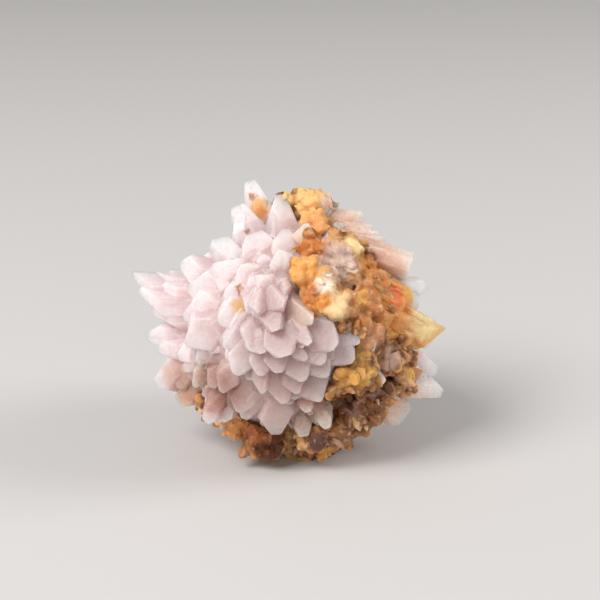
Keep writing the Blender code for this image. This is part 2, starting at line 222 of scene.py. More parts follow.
class Graph:
    """Adds nodes to one node tree, of a material or of Geometry Nodes."""

    def __init__(self, tree: bpy.types.NodeTree) -> None:
        """Starts on a tree."""
        self.tree = tree

    def node(self, kind: str, settings: dict[str, Any] | None = None,
             sockets: dict[str, Any] | None = None) -> bpy.types.Node:
        """Adds one node.

        Args:
            kind: the node's type.
            settings: its properties, which are set first.
            sockets: values or wires for its inputs, by identifier.

        Returns:
            The node.
        """
        made = self.tree.nodes.new(kind)
        for name, value in (settings or {}).items():
            setattr(made, name, value)
        inputs = {socket.identifier: socket for socket in made.inputs}
        for name, value in (sockets or {}).items():
            if isinstance(value, Wire):
                self.tree.links.new(value.socket, inputs[name])
            else:
                inputs[name].default_value = value
        return made

    def wire(self, made: bpy.types.Node, output: str | None = None) -> Wire:
        """One of a node's outputs, by identifier, or its first."""
        found = [socket for socket in made.outputs if output in (None, socket.identifier)]
        return Wire(self, found[0])

    def value(self, kind: str, settings: dict[str, Any] | None = None,
              sockets: dict[str, Any] | None = None, output: str | None = None) -> Wire:
        """Adds one node, and returns one of its outputs. The arguments are those of node and wire."""
        return self.wire(self.node(kind, settings, sockets), output)

    def vector(self, operation: str, *values: Any) -> Wire:
        """A Vector Math node's vector."""
        sockets = dict(zip(("Vector", "Vector_001", "Vector_002"), values))
        return self.value("ShaderNodeVectorMath", {"operation": operation}, sockets, "Vector")

    def distance(self, one: Any, other: Any) -> Wire:
        """How far two points are apart."""
        return self.value("ShaderNodeVectorMath", {"operation": "DISTANCE"},
                          {"Vector": one, "Vector_001": other}, "Value")

    def noise(self, place: Wire, size: Any, detail: float = 2.0, roughness: float = 0.5) -> Wire:
        """Cloudy noise round 0.5, whose largest clouds have a size in the units of place."""
        sockets = {"Vector": place, "Scale": 1.0 / size, "Detail": detail, "Roughness": roughness}
        return self.value("ShaderNodeTexNoise", {"noise_dimensions": "3D"}, sockets, "Fac")

    def fade(self, value: Wire, start: float, end: float) -> Wire:
        """0 where the value is at start, 1 where it is at end, and smooth between them."""
        return self.value("ShaderNodeMapRange", {"interpolation_type": "SMOOTHSTEP", "clamp": True},
                          {"Value": value, "From Min": start, "From Max": end}, "Result")

    def blend(self, factor: Any, one: Any, other: Any) -> Wire:
        """The colour one where the factor is 0, and the other where it is 1."""
        return self.value("ShaderNodeMix", {"data_type": "RGBA"},
                          {"Factor_Float": factor, "A_Color": one, "B_Color": other}, "Result_Color")

    def scaled(self, vector: Wire, factor: Wire) -> Wire:
        """A vector or a colour times a number."""
        return self.value("ShaderNodeVectorMath", {"operation": "SCALE"}, {"Vector": vector, "Scale": factor},
                          "Vector")

    def part(self, vector: Wire, axis: str) -> Wire:
        """One of a vector's three numbers, by its axis."""
        return self.value("ShaderNodeSeparateXYZ", None, {"Vector": vector}, axis)


class GrowthTree(Graph):
    """A Geometry Nodes tree with named inputs, which a mesh goes through once."""

    def __init__(self, name: str) -> None:
        """Starts a tree whose first input and only output are a geometry.

        Args:
            name: what the tree is called.
        """
        super().__init__(bpy.data.node_groups.new(name, "GeometryNodeTree"))
        self.tree.interface.new_socket("Geometry", in_out="INPUT", socket_type="NodeSocketGeometry")
        self.tree.interface.new_socket("Geometry", in_out="OUTPUT", socket_type="NodeSocketGeometry")
        self.entry = self.tree.nodes.new("NodeGroupInput")
        self.given: dict[str, Any] = {}

    def geometry(self) -> Wire:
        """The mesh that comes in."""
        return self.wire(self.entry)

    def size(self, name: str, kind: str, value: Any) -> Wire:
        """A named input.

        Args:
            name: what the input is called.
            kind: its socket type, without NodeSocket.
            value: what it is set to.

        Returns:
            The input's wire.
        """
        socket = self.tree.interface.new_socket(name, in_out="INPUT", socket_type="NodeSocket" + kind)
        self.given[socket.identifier] = value
        return self.wire(self.entry, socket.identifier)

    def place(self) -> Wire:
        """Where a point of the mesh is."""
        return self.value("GeometryNodeInputPosition")

    def chance(self, least: Any, most: Any, seed: Wire) -> Wire:
        """A random number from least to most."""
        return self.value("FunctionNodeRandomValue", {"data_type": "FLOAT"},
                          {"Min_001": least, "Max_001": most, "Seed": seed}, "Value_001")

    def chance_vector(self, least: float, most: float, seed: Wire) -> Wire:
        """Three random numbers from least to most."""
        return self.value("FunctionNodeRandomValue", {"data_type": "FLOAT_VECTOR"},
                          {"Min": (least,) * 3, "Max": (most,) * 3, "Seed": seed}, "Value")

    def more(self, one: Wire, other: Any) -> Wire:
        """True where the one value is greater than the other."""
        return self.value("FunctionNodeCompare", {"data_type": "FLOAT", "operation": "GREATER_THAN"},
                          {"A": one, "B": other}, "Result")

    def stored(self, geometry: Wire, domain: str, name: str, vector: Wire) -> Wire:
        """A geometry that keeps a vector under a name, on its corners or its instances."""
        return self.value("GeometryNodeStoreNamedAttribute", {"data_type": "FLOAT_VECTOR", "domain": domain},
                          {"Geometry": geometry, "Name": name, "Value": vector})

    def joined(self, parts: Sequence[Wire]) -> Wire:
        """Joins geometries.

        Args:
            parts: the geometries.

        Returns:
            All of them as one.
        """
        both = self.node("GeometryNodeJoinGeometry")
        for part in parts:
            self.tree.links.new(part.socket, both.inputs[0])
        return self.wire(both)

    def points(self, depth: float, spacing: float, crowding: float, seed: Wire,
               share: Any = 1.0) -> bpy.types.Node:
        """Points strewn over the mesh that comes in, where it is far from the ball's heart and off the floor.

        Args:
            depth: how far from the heart the first points are, in millimetres.
            spacing: how far apart they are at least, in millimetres.
            crowding: how many there are at most, on a square millimetre.
            seed: what the chance starts from.
            share: the share of them that is kept at each place.

        Returns:
            The node that strews them.
        """
        out = self.distance(self.place(), tuple(HEART * MM))
        far = self.more(out, self.size("Depth", "Float", depth * MM))
        lifted = self.more(self.part(self.place(), "Z"), FLOOR_GAP * MM)
        shown = self.value("FunctionNodeBooleanMath", {"operation": "AND"},
                           {"Boolean": far, "Boolean_001": lifted}, "Boolean")
        return self.node("GeometryNodeDistributePointsOnFaces", {"distribute_method": "POISSON"}, {
            "Mesh": self.geometry(), "Selection": shown, "Density Factor": share, "Seed": seed,
            "Distance Min": self.size("Spacing", "Float", spacing * MM),
            "Density Max": self.size("Crowding", "Float", crowding / (MM * MM))})

    def deliver(self, result: Wire, material: bpy.types.Material) -> None:
        """Ends the tree in plain, dressed geometry.

        Args:
            result: the geometry that it made.
            material: what dresses it.
        """
        plain = self.value("GeometryNodeRealizeInstances", None, {"Geometry": result})
        finish = self.size("Material", "Material", material)
        dressed = self.value("GeometryNodeSetMaterial", None, {"Geometry": plain, "Material": finish})
        leave = self.node("NodeGroupOutput")
        self.tree.links.new(dressed.socket, leave.inputs[0])

    def run(self, thing: bpy.types.Object) -> None:
        """Puts an object's mesh through the tree and keeps the result as its plain mesh.

        Args:
            thing: the object.
        """
        step = thing.modifiers.new(self.tree.name, "NODES")
        step.node_group = self.tree
        for identifier, value in self.given.items():
            step[identifier] = value
        settle(thing)


# The ball's make-up


class Tint(Enum):
    """What a crystal took up while it grew. Each tint is a piece of its own."""

    LAVENDER = "lavender_crystals"
    ROSE = "rose_crystals"
    GOLD = "golden_crystals"


class Habit(Enum):
    """How a crystal grew: a blade, a broad leaf, a tuft of tips side by side, a sheaf, or a blunt block."""

    BLADE = "blade"
    LEAF = "leaf"
    TUFT = "tuft"
    SHEAF = "sheaf"
    BLOCK = "block"


@dataclass(frozen=True)
class Company:
    """What grew against a crystal of one habit.

    Plates lie on its broad sides and shoots stand beside it. Both have their widths and offsets as shares of
    its own, and end back from its tip by a length in millimetres. beside and through are a shoot's offsets
    along the crystal's width and thickness, and tilt is how far it leans, in degrees. spill is how far it may
    stand out beyond the crystal's side, and own is the share of its width that the crystal keeps for itself.
    """

    plates: int = 0
    plate_back: Span = (0.0, 0.0)
    shoots: int = 0
    widths: Span = (0.0, 0.0)
    thicknesses: Span = (0.0, 0.0)
    beside: Span = (0.0, 0.0)
    through: float = 0.0
    back: Span = (0.0, 0.0)
    tilt: float = 0.0
    spill: float = 0.0
    own: float = 1.0


BLADE, LEAF, TUFT, SHEAF, BLOCK = Habit
COMPANY = {
    BLADE: Company(plates=2, plate_back=(0.5, 1.6), shoots=4, widths=(0.36, 0.66), thicknesses=(0.5, 0.8),
                   beside=(0.16, 0.5), through=0.36, back=(0.5, 2.8), tilt=3.0, spill=0.05),
    LEAF: Company(plates=1, plate_back=(0.4, 1.0), shoots=2, widths=(0.5, 0.8), thicknesses=(0.6, 0.95),
                  beside=(0.12, 0.4), through=0.3, back=(0.3, 1.6), tilt=3.0, spill=0.08),
    TUFT: Company(plates=1, plate_back=(0.3, 0.8), shoots=4, widths=(0.4, 0.7), thicknesses=(0.6, 1.0),
                  beside=(0.2, 0.5), through=0.4, back=(0.2, 1.4), tilt=4.0, spill=0.35, own=0.92),
    SHEAF: Company(shoots=6, widths=(0.12, 0.3), thicknesses=(1.04, 1.14), beside=(0.0, 0.45),
                   back=(0.1, 1.6), tilt=0.5),
    BLOCK: Company(),
}


@dataclass(frozen=True)
class Shape:
    """A crystal's flattened six-sided section and its chisel end.

    ridge is the length of the chisel edge, skew and lean shift that edge towards a narrow or a broad side,
    and keen and bevel are how steeply the end slopes on those sides.
    """

    width: float
    thick: float
    ridge: float = 0.9
    skew: float = 0.0
    lean: float = 0.0
    keen: float = 2.2
    bevel: float = 1.9


@dataclass(frozen=True)
class Crystal:
    """A crystal by its tip in the front view: mm right of, above and in front of the ball's middle.

    turn is in degrees about its axis. It points away from the ball's heart, or along a heading in the front
    view, right, up and toward, for so many millimetres. The other values are those of Shape.
    """

    across: float
    up: float
    toward: float
    width: float
    thick: float
    turn: float = 0.0
    ridge: float = 0.9
    skew: float = 0.0
    lean: float = 0.0
    keen: float = 2.2
    bevel: float = 1.9
    heading: Triple | None = None
    length: float = 7.0
    tint: Tint = Tint.LAVENDER
    habit: Habit = TUFT
    stain: float = 0.0

    @property
    def tip(self) -> Vector:
        """The middle of its chisel edge."""
        return VIEW.point(self.across, self.up, self.toward)

    @property
    def shape(self) -> Shape:
        """Its section and end."""
        return Shape(self.width, self.thick, self.ridge, self.skew, self.lean, self.keen, self.bevel)


@dataclass(frozen=True)
class Knob:
    """A knob of crust by its centre in the front view, with its radius."""

    across: float
    up: float
    toward: float
    radius: float

    @property
    def centre(self) -> Vector:
        """Its centre in the ball's own frame."""
        return VIEW.point(self.across, self.up, self.toward)


# The placed crystals. The ones at the front spread from one point, the fan's, and the others from the heart,
# unless a heading says where they point.

FAN = VIEW.point(-2.4, 1.6, 4.2)

tuft = Crystal
blade = partial(Crystal, habit=BLADE)
leaf = partial(Crystal, habit=LEAF)
rosy_tuft = partial(Crystal, tint=Tint.ROSE)
rosy_blade = partial(Crystal, tint=Tint.ROSE, habit=BLADE)
rosy_block = partial(Crystal, tint=Tint.ROSE, habit=BLOCK)
golden_sheaf = partial(Crystal, tint=Tint.GOLD, habit=SHEAF)

CROWN = (
    blade(-4.2, 12.8, -3.0, 3.0, 1.9, skew=-0.25, keen=3.4),
    blade(-5.4, 10.4, 0.0, 4.4, 2.2, ridge=1.3, skew=-0.40, keen=2.6),
    leaf(-7.0, 7.3, 1.8, 5.4, 2.4, ridge=1.5, skew=-0.50, keen=1.6, heading=(-0.22, 0.95, 0.15),
         length=8.0),
    leaf(-3.8, 7.7, 5.2, 5.0, 2.6, ridge=1.6, lean=0.4, keen=1.6),
    blade(-1.2, 11.4, 1.5, 4.8, 2.4, skew=-0.30, keen=2.6, stain=0.1),
    leaf(-0.9, 7.6, 6.4, 3.4, 2.0, turn=14.0, ridge=1.2, lean=0.3, stain=0.2),
)

LEFT_FAN = (
    leaf(-10.9, 4.7, 1.6, 4.2, 2.2, ridge=0.7, skew=0.35, keen=1.1, heading=(-0.96, 0.26, 0.10),
         length=8.0),
    blade(-15.5, 3.7, 0.0, 4.6, 2.2, ridge=0.4, skew=0.88, keen=0.9, heading=(-0.99, 0.03, 0.0),
          length=10.0),
    leaf(-15.0, 2.0, 0.8, 4.0, 2.1, ridge=0.2, skew=0.70, keen=1.1, heading=(-0.98, 0.02, 0.06),
         length=9.0),
    blade(-13.7, 0.0, 0.6, 3.2, 1.9, ridge=0.3, skew=0.50, keen=1.5, heading=(-0.98, -0.10, 0.06),
          length=8.0),
    tuft(-13.1, -1.4, -0.6, 1.8, 1.6, ridge=0.3),
    blade(-14.1, -2.4, -0.4, 3.0, 1.9, ridge=0.8),
    leaf(-13.1, -3.7, 0.2, 3.4, 2.0, ridge=0.6, skew=0.30, keen=1.9),
    leaf(-13.4, -6.9, -0.5, 5.0, 2.4, ridge=0.7, skew=-0.30, keen=1.5, heading=(-0.93, -0.36, 0.0),
         length=9.0, stain=0.25),
    rosy_tuft(-11.1, -8.7, -0.6, 3.5, 2.2, ridge=1.2, skew=-0.2, stain=0.3),
)

FRONT_LEFT = (
    leaf(-10.4, -3.1, 6.0, 4.6, 2.5, ridge=0.4, lean=0.3, keen=1.1),
    leaf(-9.3, -4.9, 5.0, 3.8, 2.0, ridge=0.4, keen=1.3),
    leaf(-10.2, 2.3, 4.4, 5.2, 2.2, ridge=0.6, lean=0.3, keen=1.1),
    leaf(-10.6, -0.5, 4.6, 4.6, 2.1, ridge=0.5, lean=0.3, keen=1.2),
    leaf(-7.9, 4.5, 5.6, 5.0, 2.2, ridge=0.6, lean=0.3, keen=1.2),
    leaf(-7.2, -0.9, 8.2, 4.4, 2.2, turn=-12.0, ridge=0.5, lean=0.4, keen=1.2),
    leaf(-6.6, 1.8, 8.0, 4.2, 2.1, ridge=0.5, lean=0.4, keen=1.2),
    leaf(-5.2, 4.4, 7.8, 4.0, 2.2, turn=10.0, ridge=0.5, lean=0.4, keen=1.2),
    rosy_tuft(-9.6, -7.2, 3.2, 3.4, 2.0, ridge=0.4, keen=1.7, stain=0.2),
)

PETALS = (
    leaf(-3.8, -3.8, 9.8, 3.6, 2.2, ridge=0.6, lean=0.5, keen=1.3),
    tuft(-0.7, -4.2, 10.7, 3.7, 2.5, lean=0.5, keen=1.1),
    tuft(-1.3, -5.8, 9.6, 2.8, 2.0, ridge=0.6, lean=0.5, keen=1.3),
    tuft(-5.5, -6.0, 8.4, 3.4, 2.2, ridge=0.6, lean=0.4, keen=1.3),
    tuft(-3.1, -6.1, 9.0, 2.7, 2.0, ridge=0.5, lean=0.5, keen=1.3),
    tuft(-6.9, -7.7, 6.6, 3.0, 2.0, ridge=0.5, lean=0.3, keen=1.5),
    tuft(-5.1, -9.7, 5.6, 3.1, 2.1, ridge=0.7, lean=0.3, keen=1.3),
    tuft(-2.9, -7.8, 8.2, 2.6, 1.9, turn=35.0, ridge=0.5, lean=0.4),
    tuft(-1.6, -11.8, 4.8, 4.4, 2.6, skew=0.16, lean=0.3, keen=1.5),
    tuft(-0.8, -8.8, 7.8, 3.6, 2.3, ridge=0.6, lean=0.4, keen=1.4),
    tuft(2.7, -8.6, 8.0, 4.4, 2.5, ridge=0.3, lean=0.4, keen=1.0),
    tuft(0.5, -7.8, 8.6, 2.6, 2.0, ridge=0.4, lean=0.3, keen=1.2),
    tuft(5.9, -4.7, 8.5, 3.7, 2.4, ridge=0.5, lean=0.4, keen=1.0),
    tuft(3.4, -6.2, 9.0, 2.7, 1.9, ridge=0.4, lean=0.3, keen=1.1),
    tuft(6.5, -2.9, 8.6, 3.3, 2.2, ridge=0.3, lean=0.3, keen=1.3),
    tuft(4.2, -3.3, 10.0, 3.9, 2.4, ridge=0.7, lean=0.5, keen=1.1),
    tuft(3.0, -4.9, 9.7, 2.8, 2.0, ridge=0.5, lean=0.4, keen=1.2),
    tuft(1.1, -6.6, 9.4, 3.0, 2.0, ridge=0.5, lean=0.4, keen=1.2),
    leaf(2.0, -0.8, 10.6, 4.0, 2.2, turn=20.0, ridge=0.6, lean=0.5),
    leaf(-3.6, 0.3, 10.6, 4.0, 2.1, turn=-14.0, ridge=0.6, lean=0.5),
    leaf(-0.9, 0.9, 11.0, 4.2, 2.2, turn=10.0, ridge=0.6, lean=0.5),
    leaf(-2.6, 3.6, 9.8, 4.2, 2.1, ridge=0.5, lean=0.5),
    leaf(1.7, -3.0, 10.6, 3.4, 1.9, ridge=0.5, lean=0.5),
    leaf(-6.6, -3.4, 8.5, 3.6, 1.9, turn=-30.0, ridge=0.5, lean=0.4),
    leaf(-1.6, -1.7, 11.0, 3.6, 1.9, turn=6.0, ridge=0.5, lean=0.5),
)

RIGHT_BLADES = (
    rosy_tuft(4.0, 10.7, -1.0, 2.4, 1.9, ridge=1.0, keen=1.8),
    rosy_block(6.9, 8.5, -1.0, 2.5, 2.4, ridge=1.3, keen=0.9, heading=(0.95, -0.12, 0.0), length=3.4),
    rosy_block(7.7, 7.5, -0.4, 1.8, 2.2, ridge=0.8, keen=0.7, heading=(0.96, -0.22, 0.0), length=3.6),
    rosy_block(8.3, 7.0, 0.0, 1.6, 2.2, ridge=0.7, keen=0.8, heading=(0.96, -0.26, 0.0), length=3.6),
    rosy_block(8.9, 6.5, 0.4, 1.6, 2.2, ridge=0.7, keen=0.6, heading=(0.96, -0.24, 0.0), length=3.6),
    rosy_block(11.3, 4.4, 1.6, 2.9, 3.2, ridge=2.4, keen=0.4, bevel=0.3, heading=(0.92, -0.30, -0.24),
               length=5.6, stain=0.1),
    blade(13.1, 2.4, 0.8, 2.0, 1.8, ridge=0.4, keen=1.5, heading=(1.0, -0.04, -0.1), length=5.0),
    rosy_blade(12.2, 1.1, 0.0, 2.7, 2.0, heading=(0.96, -0.12, 0.0)),
    golden_sheaf(14.7, -1.6, 1.8, 3.3, 2.6, ridge=0.1, skew=-0.92, keen=0.55, bevel=1.6,
                 heading=(0.84, -0.46, -0.30)),
    blade(13.4, -3.0, 1.0, 1.9, 1.6, ridge=0.7, keen=1.0, heading=(0.86, -0.50, 0.0), length=5.0),
    rosy_blade(12.1, 0.4, 1.6, 3.0, 2.1, keen=0.8, heading=(0.92, -0.38, 0.0)),
    blade(13.9, -5.7, -1.5, 3.4, 2.2, ridge=0.8, skew=0.3),
    rosy_blade(14.4, -7.9, -1.4, 3.8, 2.4, ridge=0.8, skew=-0.4, keen=2.4),
    rosy_block(10.8, -10.2, -1.8, 3.3, 2.5, ridge=1.8, keen=1.1),
    rosy_tuft(8.9, -6.7, 6.0, 1.8, 1.5, ridge=0.5),
    rosy_tuft(8.0, -3.2, 7.4, 2.0, 1.7, stain=0.3),
    rosy_tuft(1.5, -9.6, 7.0, 1.9, 1.5, ridge=0.6),
    rosy_tuft(3.4, -11.2, 5.6, 2.0, 1.6, ridge=0.6),
    rosy_tuft(1.1, -12.0, 4.6, 2.4, 1.8, ridge=0.8),
)

SHEAVES = (
    golden_sheaf(12.2, -3.2, 2.6, 2.4, 2.2, ridge=0.5, keen=0.9, heading=(0.80, -0.45, -0.42), length=5.5),
    golden_sheaf(11.5, 0.6, 3.0, 2.8, 2.2, ridge=0.5, keen=0.9, heading=(0.78, -0.48, -0.42), length=5.0),
    golden_sheaf(11.3, -1.8, 3.7, 3.0, 2.2, ridge=0.6, keen=0.9, heading=(0.79, -0.45, -0.44), length=5.0),
    golden_sheaf(10.7, -0.3, 4.2, 3.2, 2.2, ridge=0.6, keen=0.9, heading=(0.79, -0.46, -0.44), length=5.0),
    golden_sheaf(10.2, -3.2, 4.3, 2.6, 2.2, ridge=0.5, keen=1.0, heading=(0.78, -0.46, -0.44), length=4.6),
    golden_sheaf(9.8, -1.5, 5.1, 3.0, 2.2, ridge=0.6, keen=1.0, heading=(0.79, -0.45, -0.44), length=4.2),
    golden_sheaf(9.7, 1.2, 4.7, 2.4, 2.2, ridge=0.5, keen=0.9, heading=(0.78, -0.48, -0.42), length=3.6),
    golden_sheaf(8.7, -2.5, 5.9, 2.2, 2.0, ridge=0.4, keen=1.0, heading=(0.78, -0.46, -0.44), length=3.2),
)

PLACED = CROWN + LEFT_FAN + FRONT_LEFT + PETALS + RIGHT_BLADES

KNOBS = (
    Knob(1.3, 10.1, -0.3, 2.0),
    Knob(2.1, 10.2, -0.9, 1.6),
    Knob(-0.7, 10.4, -1.4, 1.2),
    Knob(2.3, 8.2, 2.8, 1.6),
    Knob(2.0, 6.0, 5.6, 1.5),
    Knob(1.1, 4.0, 8.2, 1.4),
    Knob(2.1, 1.2, 8.9, 1.35),
    Knob(4.8, 5.2, 6.0, 2.3),
    Knob(3.2, 2.9, 8.2, 1.6),
    Knob(4.6, 0.7, 8.4, 1.7),
    Knob(6.8, 4.8, 4.6, 1.4),
    Knob(7.0, 1.1, 7.0, 1.5),
    Knob(8.1, 2.7, 5.4, 1.4),
    Knob(6.6, -0.9, 7.6, 1.2),
    Knob(7.8, -2.4, 6.6, 1.3),
    Knob(8.9, 1.2, 5.4, 1.0),
    Knob(5.0, -6.3, 7.0, 1.3),
    Knob(6.7, -6.3, 6.4, 1.4),
    Knob(6.6, -4.2, 6.7, 1.3),
    Knob(9.3, -4.3, 4.2, 1.8),
    Knob(10.4, -4.9, 1.6, 1.7),
    Knob(10.4, -6.3, 1.0, 1.6),
    Knob(7.2, -9.2, 3.0, 2.1),
    Knob(5.3, -10.6, 2.2, 2.1),
    Knob(3.3, -11.6, 1.8, 2.1),
    Knob(-2.7, -12.2, 2.2, 2.0),
    Knob(-7.3, -9.4, 0.4, 1.5),
    Knob(-5.4, -10.4, 1.4, 1.8),
    Knob(2.2, -12.0, 2.6, 1.6),
)


@dataclass(frozen=True)
class CrustReach:
    """Where the ochre crust lies: over one side of the ball and under it, with a wandering edge.

    side_edge and below_edge are the cosines of how far it reaches round side and below.
    """

    side: Triple = (0.80, -0.26, -0.10)
    side_edge: float = 0.42
    below: Triple = (0.20, 0.0, -1.0)
    below_edge: float = 0.76
    wander: float = 0.30
    wander_pitch: float = 2.3
    wander_phase: Triple = (4.1, 0.7, 2.9)
    edge_width: float = 0.30

    def share(self, direction: Vector) -> float:
        """How far the crust covers the ball in a direction.

        Args:
            direction: the direction from the ball's heart, of length 1.

        Returns:
            The share that it covers, from 0 to 1.
        """
        beside = direction.dot(Vector(self.side).normalized()) - self.side_edge
        beneath = direction.dot(Vector(self.below).normalized()) - self.below_edge
        wander = self.wander * noise.noise(direction * self.wander_pitch + Vector(self.wander_phase))
        return min(max((max(beside, beneath) + wander) / self.edge_width + 0.5, 0.0), 1.0)


@dataclass(frozen=True)
class Outline:
    """How far crystals may reach, so that the ball keeps its outline in the front view.

    rim is that outline's distance from the heart. On the hollow side, at the upper left, it is nearer by up
    to hollow_depth.
    """

    rim: float = 11.8
    hollow_depth: float = 3.4
    hollow_width: float = 0.45
    hollow_side: Span = (-0.74, 0.67)
    hollow_flank: float = 1.5
    least_beside: float = 0.1

    def reach(self, direction: Vector) -> float:
        """How far a crystal may reach in a direction.

        Args:
            direction: the direction from the ball's heart, of length 1.

        Returns:
            The greatest distance of its tip from the heart.
        """
        beside = Vector((direction.dot(VIEW.right), direction.dot(VIEW.up)))
        shared = beside.normalized().dot(Vector(self.hollow_side).normalized())
        inside = max(shared - 1.0 + self.hollow_width, 0.0) / self.hollow_width
        rim = self.rim - self.hollow_depth * min(self.hollow_flank * inside, 1.0)
        return rim / max(beside.length, self.least_beside)


@dataclass(frozen=True)
class Staining:
    """Which tint a crystal has that no hand placed, and how rusty it is.

    Round the clear direction all are lavender. Elsewhere they are rosy or golden where the crust covers more
    of the ball than a share, and a slow drift mixes the tints.
    """

    clear: Triple = (-0.12, -0.95, 0.28)
    clear_share: float = 0.86
    drift_pitch: float = 2.9
    drift_phase: Triple = (7.0, 1.0, 3.0)
    drift_share: float = 0.45
    rosy: float = 0.45
    golden: float = 0.7
    rust: float = 0.6

    def tint(self, direction: Vector, crust: float) -> Tint:
        """The tint of a crystal that grew in a direction.

        Args:
            direction: the direction from the ball's heart, of length 1.
            crust: the share of the ball that crust covers there.

        Returns:
            The tint.
        """
        if direction.dot(Vector(self.clear).normalized()) > self.clear_share:
            return Tint.LAVENDER
        drift = 0.5 + noise.noise(direction * self.drift_pitch + Vector(self.drift_phase))
        if crust > self.golden:
            return Tint.GOLD if drift > self.drift_share else Tint.ROSE
        return Tint.ROSE if crust > self.rosy and drift > self.drift_share else Tint.LAVENDER


CRUST, OUTLINE, STAINING = CrustReach(), Outline(), Staining()


def turned(direction: Vector, axis: Vector, angle: float) -> Vector:
    """Turns a direction about an axis.

    Args:
        direction: the direction, which stays as it is.
        axis: the axis, of length 1.
        angle: how far, in radians.

    Returns:
        The turned direction.
    """
    result = direction.copy()
    result.rotate(Quaternion(axis, angle))
    return result


def swayed_directions(count: int, sway: float, chance: random.Random) -> Iterator[Vector]:
    """Directions spread over a sphere along a spiral from its top, each swayed a little.

    Args:
        count: how many.
        sway: how far each part of a direction may sway.
        chance: the source of the sways.

    Yields:
        The directions.
    """
    golden = math.pi * (3.0 - math.sqrt(5.0))
    for i in range(count):
        height = 1.0 - 2.0 * (i + 0.5) / count
        ring = math.sqrt(1.0 - height * height)
        direction = Vector((ring * math.cos(golden * i), ring * math.sin(golden * i), height))
        yield (direction + Vector([chance.uniform(-sway, sway) for _ in range(3)])).normalized()


# Crystals


@dataclass(frozen=True)
class Shoot:
    """A single straight crystal in the ball's own frame, from its root to its chisel edge."""

    root: Vector
    tip: Vector
    across: Vector
    shape: Shape
    tint: Tint
    stain: float
    rounding: float = 0.09
    cuts: int = 2
    habit: Habit = TUFT

    @property
    def axis(self) -> Vector:
        """The direction that it grew in."""
        return (self.tip - self.root).normalized()

    @property
    def length(self) -> float:
        """How far its tip is from its root."""
        return (self.tip - self.root).length

    @property
    def side(self) -> Vector:
        """The direction of its width."""
        return (self.across - self.axis * self.across.dot(self.axis)).normalized()

    @property
    def through(self) -> Vector:
        """The direction of its thickness."""
        return self.axis.cross(self.side)

    @property
    def body(self) -> float:
        """How far the middle of its width lies aside of its chisel edge."""
        return -0.5 * self.shape.skew * self.shape.width


def grown_together(name: str, thing: bpy.types.Object, finish: bpy.types.Material) -> None:
    """Joins the separate closed crystals of an object to one closed surface, and dresses it.

    Args:
        name: what the tree is called.
        thing: the object, which keeps the result as its mesh.
        finish: the material.
    """
    tree = GrowthTree(name)
    island = tree.value("GeometryNodeInputMeshIsland", None, None, "Island Index")
    singles = tree.value("GeometryNodeSplitToInstances", {"domain": "FACE"},
                         {"Geometry": tree.geometry(), "Group ID": island}, "Instances")
    joined = tree.value("GeometryNodeMeshBoolean", {"operation": "UNION", "solver": "MANIFOLD"},
                        {"Mesh 2": singles}, "Mesh")
    tree.deliver(joined, finish)
    tree.run(thing)


